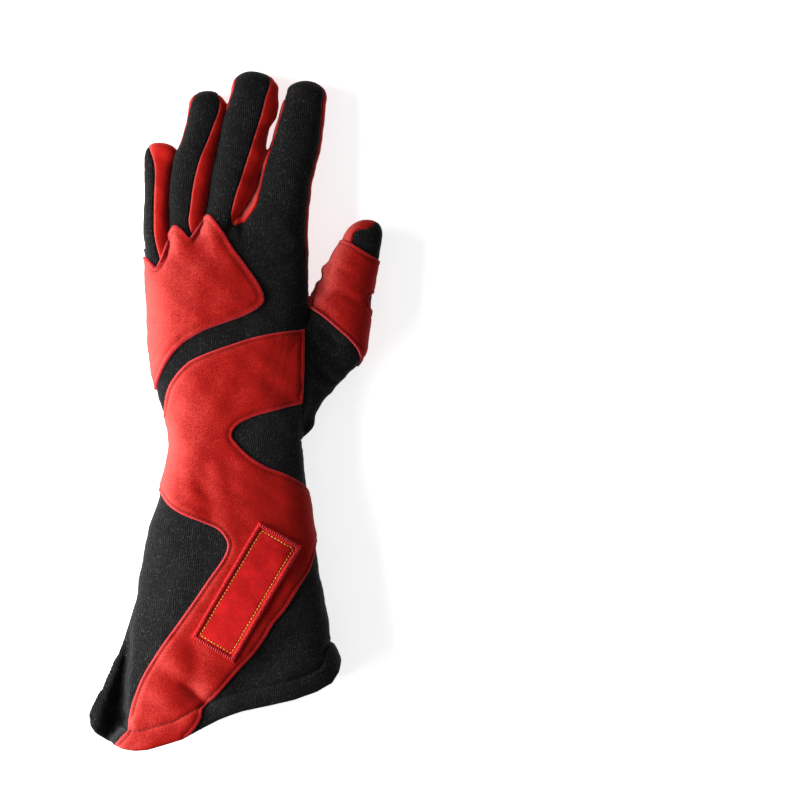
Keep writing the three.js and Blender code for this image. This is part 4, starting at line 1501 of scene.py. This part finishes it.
@dataclass
class GloveForm:
    """The whole glove as one creased skin, with the fields that its pieces are cut by."""

    voxel: float = 1.05
    top: float = 16.0
    index_lift: float = 6.2
    touch_drop: float = 4.5
    side_drop: float = 2.8
    palm_short: float = 4.5
    gather_y: float = -19.0
    gather_reach: float = 15.0
    gather_depth: float = 1.7
    gather_pitch: float = 7.2
    flap_drop: float = 9.0
    band: float = 0.8
    waves: tuple[float, ...] = (34.0, 22.0, 15.0, 9.0)
    wave_share: float = 0.011
    seed: int = 11

    def build(self) -> Skin:
        """Lofts, joins and creases the form, and cuts it along its seams.

        Returns:
            The skin, with the smooth normals that every piece keeps.
        """
        skin = self.joined()
        skin.data = {"plan_shift": np.zeros(len(skin.points)), "under": np.zeros(len(skin.points))}
        for touch in (LITTLE_RING, RING_MIDDLE, MIDDLE_INDEX):
            touch.close(skin)
        x, y, z = skin.points.T
        # Joined limbs leave dents under the knuckle panel, beside it and on the thumb's saddle
        panel = ease((inside(skin.points, KNUCKLE_PANEL) - 1) / 5)
        beside = between(x, -12, 34, 6) * between(y, 66, 101, 6, 5)
        saddle = between(x, 14, 62, 8) * between(y, -10, 54, 8)
        skin.soften(np.maximum(np.maximum(panel, beside), saddle) * (z > self.top), 110)
        skin.relax(6)
        self.crease(skin)
        self.cut_pieces(skin)
        skin.data |= {f"normal_{k}": along for k, along in zip("xyz", skin.normals(5).T)}
        return skin

    def joined(self) -> Skin:
        """Remeshes all limbs into one.

        Returns:
            The skin of the whole glove, still smooth.
        """
        points, faces, start = [], [], 0
        for limb in LIMBS:
            at, polygons = limb.mesh()
            points.append(at)
            faces += [tuple(i + start for i in face) for face in polygons]
            start += len(at)
        mesh = bpy.data.meshes.new("form")
        mesh.from_pydata((np.vstack(points) * MM).tolist(), [], faces)
        holder = placed("form", mesh)
        remesh = holder.modifiers.new("remesh", "REMESH")
        remesh.mode, remesh.voxel_size = "VOXEL", self.voxel * MM
        made = applied(holder)
        made.calc_loop_triangles()
        at = np.zeros(len(made.vertices) * 3)
        made.vertices.foreach_get("co", at)
        corners = np.zeros(len(made.loop_triangles) * 3, np.int32)
        made.loop_triangles.foreach_get("vertices", corners)
        log.info("form: %d points", len(made.vertices))
        return Skin(at.reshape(-1, 3) / MM, corners.reshape(-1, 3).astype(np.int64)).largest()

    def level(self, skin: Skin) -> Array:
        """Measures the height above the side seam, which rides up the index finger's outer side.

        Args:
            skin: The glove.

        Returns:
            The height of each point, which is 0 on the seam.
        """
        x, y, z = skin.points.T
        left, right = ease((-24 - x) / 8), ease((x - 24) / 8)
        index = ease((x - 24) / 10) * between(y, 50, 188, 7, 16)
        lift = self.index_lift * index * ease(np.maximum((y - 108) / 4, (43.5 - x) / 2))
        lift -= self.touch_drop * skin.data["under"]
        lift -= self.side_drop * (left + right) * ease((48 - y) / 10)
        lift -= self.side_drop * left * between(y, 44, 92, 8, 6)
        for at_x, at_y, wide, long, rise in SEAM_LIFTS:
            lift += rise * bump(x - at_x, wide) * bump(y - at_y, long)
        return z - seam_height(y) - lift + self.flap_drop * FOLD.flap(x, y)

    def hem(self, skin: Skin, level: Array) -> Array:
        """Measures the distance in from the hem, where the palm side is a little shorter.

        Args:
            skin: The glove.
            level: Its height above the side seam.

        Returns:
            The distance of each point, which is below 0 beyond the hem.
        """
        x, y, _ = skin.points.T
        y = y - self.palm_short * ease(level / -6.0) * between(x, -66, 54, 20, 14)
        best = np.min([off_line(x, y, a, b)[1] for a, b in zip(HEM_EDGE, HEM_EDGE[1:])], axis=0)
        beyond = y < np.interp(x, *np.array(HEM_EDGE).T)
        return np.where(beyond, -1.0, 1.0) * np.sqrt(np.minimum(best, 60.0**2))

    def crease(self, skin: Skin) -> None:
        """Moves the skin along its normals: creases, slack, gathers and the band of the hem.

        Args:
            skin: The glove.
        """
        level = self.level(skin)
        hem = self.hem(skin, level)
        x, y, _ = skin.points.T
        relief = sum(c.relief(skin.points, level) for c in BACK_CREASES) + self.slack(x, y)
        uneven = x + 2.2 * np.sin(x / 9.0) + 1.4 * np.sin(y / 7.0)
        ripple = np.cos(2 * math.pi * uneven / self.gather_pitch)
        near = bump(y - self.gather_y, self.gather_reach) * ease(level / -3.0 + 0.3)
        relief += self.gather_depth * near * (ripple - 0.55)
        band = self.band * (ease((HEM_BAND + 0.2 - hem) / 1.6) - bump(hem - HEM_BAND - 0.5, 1.0))
        relief += (band + 0.35 * bump(hem - 5.0, 3.0)) * (1 - 0.6 * FOLD.flap(x, y))
        skin.points = skin.points + skin.normals(4) * relief[:, None]
        skin.points[:, 2] = np.maximum(skin.points[:, 2], 0.4)

    def slack(self, x: Array, y: Array) -> Array:
        """Shapes gentle uneven waves, as in cloth that nothing fills.

        Args:
            x: The points' x.
            y: Their y.

        Returns:
            How far the waves move each point along its normal.
        """
        rng = np.random.default_rng(self.seed)
        total = np.zeros(len(x))
        for wave in self.waves:
            turn = rng.uniform(0, 2 * math.pi, 4)
            spin = rng.uniform(0, math.pi)
            along = x * math.cos(spin) + y * math.sin(spin) + 5 * np.sin(y / wave + turn[1])
            across = np.sin(y * 2 * math.pi / (1.7 * wave) + turn[2])
            total += self.wave_share * wave * np.sin(2 * math.pi * along / wave + turn[0]) * across
        return total

    def cut_pieces(self, skin: Skin) -> None:
        """Cuts the skin along the side seam, the plan seams and the hem.

        Args:
            skin: The glove.
        """
        skin.cut("level", self.level(skin))
        for half, pieces in PIECES.items():
            for name, plan in pieces.items():
                skin.cut_half(name, half, inside(skin.plan(), plan))
        skin.cut("hem", self.hem(skin, skin.data["level"]))

    @staticmethod
    def region(skin: Skin) -> Array:
        """Sorts the faces into sewn pieces.

        Args:
            skin: The glove, once it is cut.

        Returns:
            The name of the piece that each face belongs to.
        """
        names = np.where(skin.side("level") > 0, "hand_back", "palm").astype("U32")
        for half, pieces in PIECES.items():
            for name in pieces:
                names[skin.within(name, half)] = name
        names[skin.side("hem") < 0] = "beyond_hem"
        return names


# Sewn pieces


@dataclass
class Shell:
    """A sewn piece of the glove's body: a wall of cloth whose rims roll into its seams."""

    name: str
    finish: Finish
    nodes: tuple[str, ...]
    thickness: float = 1.7
    roll: float = 0.8
    roll_width: float = 1.7
    hem_radius: float = 1.35
    hem_extra: float = 0.9

    def build(self, skin: Skin, faces: Array) -> Skin:
        """Makes the piece.

        Args:
            skin: The whole glove.
            faces: Which of its faces are the piece's.

        Returns:
            The piece's outside, as it lies once its rims are rolled in.
        """
        part = skin.pick(faces).largest()
        # Rings of points along the rim give the roll its round shape
        for depth in (0.45, 1.0, 1.7):
            part.cut("ring", part.from_seams() - depth)
        seam, hem, normals = part.from_seams(), part.from_hem(), part.kept_normals()
        rolled = self.roll * round_off(seam / self.roll_width, 1.0)
        turned = round_off(hem, self.hem_radius)
        thick = self.thickness + self.hem_extra * ease((HEM_BAND + 1 - hem) / 1.5)
        # Painted shade: how far each point lies in the groove where the rim rolls into its seam
        part.data["painted_groove_shade"] = np.clip(1 - seam / 1.4, 0, 1)
        wall = part.wall(-rolled - turned, -thick + turned, normals)
        hand_over(wall.piece("sewn_" + self.name, self.finish), self.finish.slot, *self.nodes)
        part.points = part.points - normals * (rolled + turned)[:, None]
        return part


@dataclass
class Overlay:
    """A suede panel sewn on top: a raised sheet with raw edges and sunken topstitching."""

    name: str
    finish: Finish
    outlines: dict[Half, Plan]
    edge_level: float = 1.2
    gap: float = 0.12
    thickness: float = 1.25
    puff: float = 0.35
    stitch_row: float = 2.1
    groove: float = 0.5
    groove_width: float = 0.55
    stitching: Stitching = TOPSTITCH
    overlock: Stitching | None = None
    channels: tuple[tuple[Point, ...], ...] = ()
    channel_depth: float = 1.5
    channel_width: float = 1.3
    hem_radius: float = 1.3
    least: float = 0.25

    def cover(self, skin: Skin) -> Skin:
        """Cuts the panel out of the glove's skin.

        Args:
            skin: The whole glove.

        Returns:
            The part that the panel lies on.
        """
        wraps = len(self.outlines) > 1
        for half, plan in self.outlines.items():
            skin.cut_half(self.name, half, inside(skin.points, plan))
        if not wraps:
            middle = 9.0 * between(skin.points[:, 0], -44, 36, 5)
            skin.cut("edge_level", skin.data["level"] * half.value - self.edge_level + middle)
        inner = np.zeros(len(skin.faces), bool)
        for half in self.outlines:
            inner |= skin.within(self.name, half)
        if not wraps:
            inner &= skin.side("edge_level") > 0
        return skin.pick(inner & (skin.side("hem") > 0)).largest()

    def relief(self, part: Skin, edge: Array, hem: Array) -> Array:
        """Shapes the sheet: its edge, its groove, its puffed middle and its channels.

        Args:
            part: The skin that it lies on.
            edge: Distance to its raw edge.
            hem: Distance to the hem.

        Returns:
            How high its top lies above the skin.
        """
        rise = self.thickness * (0.62 + 0.38 * np.sqrt(np.clip(edge / 0.8, 0, 1)))
        rise -= self.groove * bump(edge - self.stitch_row, self.groove_width)
        rise += self.puff * ease((edge - self.stitch_row - 0.3) / 2.6)
        x, y, _ = part.points.T
        for channel in self.channels:
            away = np.sqrt(np.min([off_line(x, y, a, b)[1] for a, b in zip(channel, channel[1:])], axis=0))
            rise -= self.channel_depth * bump(away, self.channel_width) * ease((edge - 1.5) / 3)
        rise -= 1.1 * round_off(hem, self.hem_radius)
        return self.gap + np.maximum(rise, self.least)

    def build(self, skin: Skin) -> Skin:
        """Makes the panel and its stitches.

        Args:
            skin: The whole glove.

        Returns:
            The panel's top.
        """
        part = self.cover(skin)
        row = f"row{self.stitch_row}"
        for depth in (0.28, 0.8, self.stitch_row, self.stitch_row + 1.3):
            part.cut(f"row{depth}", part.from_seams() - depth, snap=0.05)
        edge, hem, normals = part.from_seams(), part.from_hem(), part.kept_normals()
        top = self.relief(part, edge, hem)
        part.data["raw"] = ease(1 - (edge - 0.15) / 0.85)
        # Painted shade: how deep each point lies in the groove of the topstitching
        part.data["painted_groove_shade"] = self.groove / 0.6 * bump(edge - self.stitch_row, 0.42)
        wall = part.wall(top, 0.04 - 0.6 * np.clip(1 - hem / self.hem_radius, 0, 1) ** 2, normals)
        hand_over(wall.piece("sewn_" + self.name, self.finish), self.finish.slot, self.name)
        surface = Skin(part.points + normals * top[:, None], part.faces, dict(part.data))
        guide = (surface.points + normals * 0.05, normals, part.lines(row, hem > 2.0))
        hand_over(self.stitching.lay(self.name + "_topstitch", [guide]), self.finish.slot)
        if self.overlock:
            part.cut("overlock", edge - OVERLOCK_INSET, snap=0.05)
            up = part.kept_normals()
            guide = (part.points + up * (self.gap + self.thickness * 1.02), up, part.lines("overlock"))
            hand_over(self.overlock.lay(self.name + "_overlock", [guide]), self.finish.slot)
        return surface


@dataclass
class Badge:
    """The bare rectangular patch on the cuff: twill in a thick overstitched border."""

    centre: Point = (6.6, -101.4)
    width: float = 27.6
    length: float = 75.0
    turn: float = -30.4
    border: float = 2.6
    line_inset: float = 3.8
    columns: int = 61
    rows: int = 151

    def drape(self, ground: BVHTree) -> Skin:
        """Lays a sheet on the panel below.

        Args:
            ground: The panel's top, to be hit by rays from above.

        Returns:
            The patch's mid surface.
        """
        across = np.linspace(-self.width / 2, self.width / 2, self.columns)
        u, v = np.meshgrid(across, np.linspace(-self.length / 2, self.length / 2, self.rows))
        c, s = math.cos(math.radians(self.turn)), math.sin(math.radians(self.turn))
        x = (self.centre[0] + u * c - v * s).ravel()
        y = (self.centre[1] + u * s + v * c).ravel()
        z = [ground.ray_cast((a, b, 90.0), (0, 0, -1))[0] for a, b in zip(x, y)]
        z = np.array([hit.z if hit else 36.0 for hit in z])
        index = np.arange(self.rows * self.columns).reshape(self.rows, self.columns)
        a, b = index[:-1, :-1].ravel(), index[:-1, 1:].ravel()
        c, d = index[1:, 1:].ravel(), index[1:, :-1].ravel()
        sheet = Skin(np.c_[x, y, z], np.vstack([np.c_[a, b, c], np.c_[a, c, d]]))
        sheet.soften(1.0, 14, 0.6)
        sheet.data = {"u": u.ravel(), "v": v.ravel()}
        return sheet

    def build(self, under: Skin) -> None:
        """Makes the patch, its border and its stitched line.

        Args:
            under: The top of the panel that it lies on.
        """
        sheet = self.drape(BVHTree.FromPolygons(under.points.tolist(), under.faces.tolist()))
        normals = sheet.normals(6)
        u, v = sheet.data["u"], sheet.data["v"]
        edge = np.minimum(self.width / 2 - np.abs(u), self.length / 2 - np.abs(v))
        rim = np.clip(edge / (self.border / 2) - 1, -1, 1)
        rope = np.sqrt(np.maximum(1 - rim**2, 0)) * (edge < self.border)
        rise = 1.05 + 0.75 * rope - 0.3 * bump(edge - self.line_inset, 0.5)
        wall = sheet.wall(rise, np.full(len(rise), -0.4), normals)
        hand_over(wall.piece("badge_twill", BADGE_TWILL), Slot.TWILL, "badge")
        wide = self.border + 0.5
        border = Stitching(BORDER_THREAD, pitch=1.3, length=1.15, width=wide, height=1.3, slant=4.0, lean=8.0)
        dashes = Stitching(YELLOW_THREAD, pitch=2.05, length=1.6, width=0.55, height=0.45)
        for name, stitching, inset, lift in (
            ("badge_border", border, self.border / 2, 1.5),
            ("badge_line", dashes, self.line_inset, 0.98),
        ):
            hand_over(stitching.lay(name, [self.loop(inset, lift, sheet, normals)]), Slot.TWILL)

    def loop(self, inset: float, lift: float, sheet: Skin, normals: Array) -> Lines:
        """A rounded rectangle inside the patch's edge, as a line on it.

        Args:
            inset: How far inside the edge it runs.
            lift: How far it lies above the patch's mid surface.
            sheet: The mid surface.
            normals: Its normals.

        Returns:
            The line's points, its facing directions and its edges.
        """
        w, h, r = self.width / 2 - inset, self.length / 2 - inset, 1.0
        at = []
        for sx, sy, start in ((1, 1, 0), (-1, 1, 90), (-1, -1, 180), (1, -1, 270)):
            for angle in np.radians(np.linspace(start, start + 90, 5)):
                at.append((sx * (w - r) + r * math.cos(angle), sy * (h - r) + r * math.sin(angle)))
        at = np.array(at)
        ends = zip(at, np.roll(at, -1, axis=0))
        fine = np.vstack([np.linspace(p, q, 40, endpoint=False) for p, q in ends])
        column = (fine[:, 0] / self.width + 0.5) * (self.columns - 1)
        row = (fine[:, 1] / self.length + 0.5) * (self.rows - 1)
        i, j = column.astype(int), row.astype(int)
        fi, fj = (column - i)[:, None], (row - j)[:, None]
        shape = (self.rows, self.columns, 3)
        points, facing = (
            (g[j, i] * (1 - fi) + g[j, i + 1] * fi) * (1 - fj)
            + (g[j + 1, i] * (1 - fi) + g[j + 1, i + 1] * fi) * fj
            for g in (sheet.points.reshape(shape), normals.reshape(shape))
        )
        k = np.arange(len(fine))
        return points + facing * lift, facing, np.c_[k, np.roll(k, -1)]


@dataclass
class Glove:
    """The whole glove, built piece by piece on one form."""

    shells: tuple[Shell, ...] = (
        Shell("hand_back", HAND_KNIT, ("back", "little_back", "ring_back", "middle_back")),
        Shell("cuff_back", CUFF_KNIT, ("cuff_back",)),
        Shell("palm", RED_SUEDE, ("palm", "little_front", "ring_front", "middle_front", "index_front"), 1.5),
        Shell("cuff_front", CUFF_KNIT, ("cuff_front",)),
        *(Shell(name, LIT_GUSSET_SUEDE, (name,), 1.4, 0.4, 1.0) for name in GUSSETS),
        Shell("thumb_back", HAND_KNIT, ("thumb_back",)),
        Shell("thumb_front", RED_SUEDE, ("thumb_front",), 1.5),
    )
    overlays: tuple[Overlay, ...] = (
        Overlay("knuckle_panel", RED_SUEDE, {Half.BACK: KNUCKLE_PANEL}, puff=0.3, stitch_row=3.1,
                groove=0.3, overlock=OVERLOCK),
        Overlay("wave_panel", RED_SUEDE, {Half.BACK: WAVE_PANEL}),
        Overlay("thumb_panel", RED_SUEDE, THUMB_PANEL, thickness=1.1, puff=0.2),
        Overlay("palm_patch", BLACK_SUEDE, {Half.PALM: PALM_PATCH}, puff=0.7, stitching=PATCH_STITCH,
                channels=PALM_CHANNELS),
    )

    def build(self) -> None:
        """Builds the form, then every piece on it."""
        skin = GloveForm().build()
        regions = GloveForm.region(skin)
        outsides = {shell.name: shell.build(skin, regions == shell.name) for shell in self.shells}
        outsides |= {overlay.name: overlay.build(skin) for overlay in self.overlays}
        Badge().build(outsides["wave_panel"])
        self.sew_hem(outsides)
        self.sew_wrist(outsides)

    @staticmethod
    def sew_hem(outsides: dict[str, Skin]) -> None:
        """Stitches the hem all round, over the knit and over the panel that crosses it.

        Args:
            outsides: The outside of each sewn piece, by its name.
        """
        rows = []
        for name in ("cuff_back", "cuff_front", "wave_panel"):
            part = outsides[name]
            part.cut("hem_row", part.data["hem"] - HEM_BAND)
            clear = None
            if name == "cuff_back":
                clear = (inside(part.points, WAVE_PANEL) < -0.4) | (part.data["level"] < 2.0)
            rows.append(part.row("hem_row", 0.05, clear))
        hand_over(HEM_STITCH.lay("hem_stitching", rows), Slot.KNIT)

    @staticmethod
    def sew_wrist(outsides: dict[str, Skin]) -> None:
        """Zigzags the elastic across the palm side, a little above and below the wrist seam.

        Args:
            outsides: The outside of each sewn piece, by its name.
        """
        rows = []
        for name, along in (("palm", -9.5), ("cuff_front", -22.5)):
            part = outsides[name]
            part.cut("zigzag_row", part.points[:, 1] - along)
            rows.append(part.row("zigzag_row", 0.1, part.points[:, 2] < 14.0))
        hand_over(ZIGZAG.lay("wrist_zigzag", rows), Slot.KNIT)


@dataclass
class Studio:
    """A plain pale floor under soft light, and a camera straight above it."""

    photo_scale: float = 0.56
    photo_zero: Point = (235.5, 410.0)
    photo_size: float = 800.0
    distance: float = 4.0
    key: float = 9.3
    key_size: tuple[float, float] = (0.32, 0.7)
    key_color: tuple[float, float, float] = (1.0, 0.985, 0.965)
    key_place: tuple[float, float, float] = (-0.42, -0.03, 0.22)
    key_aim: tuple[float, float, float] = (-0.02, -0.01, 0.02)
    fill: float = 0.26
    fill_color: Color = (0.97, 0.98, 1.0, 1.0)
    floor_glow: float = 0.73

    def build(self) -> None:
        """Makes the floor, the lights and the camera."""
        self.floor()
        self.lamp()
        world = bpy.data.worlds.new("studio")
        world.use_nodes = True
        background = world.node_tree.nodes["Background"].inputs
        background["Color"].default_value = self.fill_color
        background["Strength"].default_value = self.fill
        bpy.context.scene.world = world
        bpy.context.scene.view_settings.view_transform = "Standard"
        self.camera()

    def lamp(self) -> None:
        """A low rectangular light from the left."""
        data = bpy.data.lights.new("key", "AREA")
        data.shape = "RECTANGLE"
        data.size, data.size_y = self.key_size
        data.energy, data.color = self.key, self.key_color
        lamp = placed("key", data)
        place = Vector(self.key_place)
        towards = (Vector(self.key_aim) - place).normalized()
        side = Vector((0.0, 1.0, 0.0)).cross(-towards).normalized()
        lamp.matrix_world = Matrix((side, -towards.cross(side), -towards)).transposed().to_4x4()
        lamp.location = place

    def floor(self) -> None:
        """A wide plain sheet that the glove lies on."""
        mesh = bpy.data.meshes.new("floor")
        r = 3.0
        mesh.from_pydata([(-r, -r, 0), (r, -r, 0), (r, r, 0), (-r, r, 0)], [], [(0, 1, 2, 3)])
        shader = Shader("floor_paper")
        tone = shader.mix(shader.noise(40, 2), (0.80, 0.80, 0.80, 1.0), (0.83, 0.83, 0.83, 1.0))
        shader.finish(tone, shader.noise(900, 2), 0.00005, 0.1, Roughness=0.8, Specular_IOR_Level=0.1,
                      Emission_Color=(1.0, 1.0, 1.0, 1.0), Emission_Strength=self.floor_glow)
        mesh.materials.append(shader.material)
        placed("floor", mesh)

    def camera(self) -> None:
        """A long lens straight above the photograph's middle."""
        middle = [
            (self.photo_size / 2 - self.photo_zero[0]) * self.photo_scale,
            (self.photo_zero[1] - self.photo_size / 2) * self.photo_scale,
        ]
        data = bpy.data.cameras.new("camera")
        data.sensor_width = 36.0
        seen = self.photo_size * self.photo_scale * MM
        data.lens = data.sensor_width * (self.distance - 0.02) / seen
        data.clip_start, data.clip_end = 0.05, 20.0
        eye = placed("camera", data)
        eye.location = ((middle[0] + TABLE_SHIFT[0]) * MM, (middle[1] + TABLE_SHIFT[1]) * MM, self.distance)
        bpy.context.scene.camera = eye


def main() -> None:
    """Builds the glove and its studio; each piece logs its face count as it is made."""
    logging.basicConfig(level=logging.INFO, format="%(name)s: %(message)s")
    Glove().build()
    Studio().build()


if __name__ == "__main__":
    main()
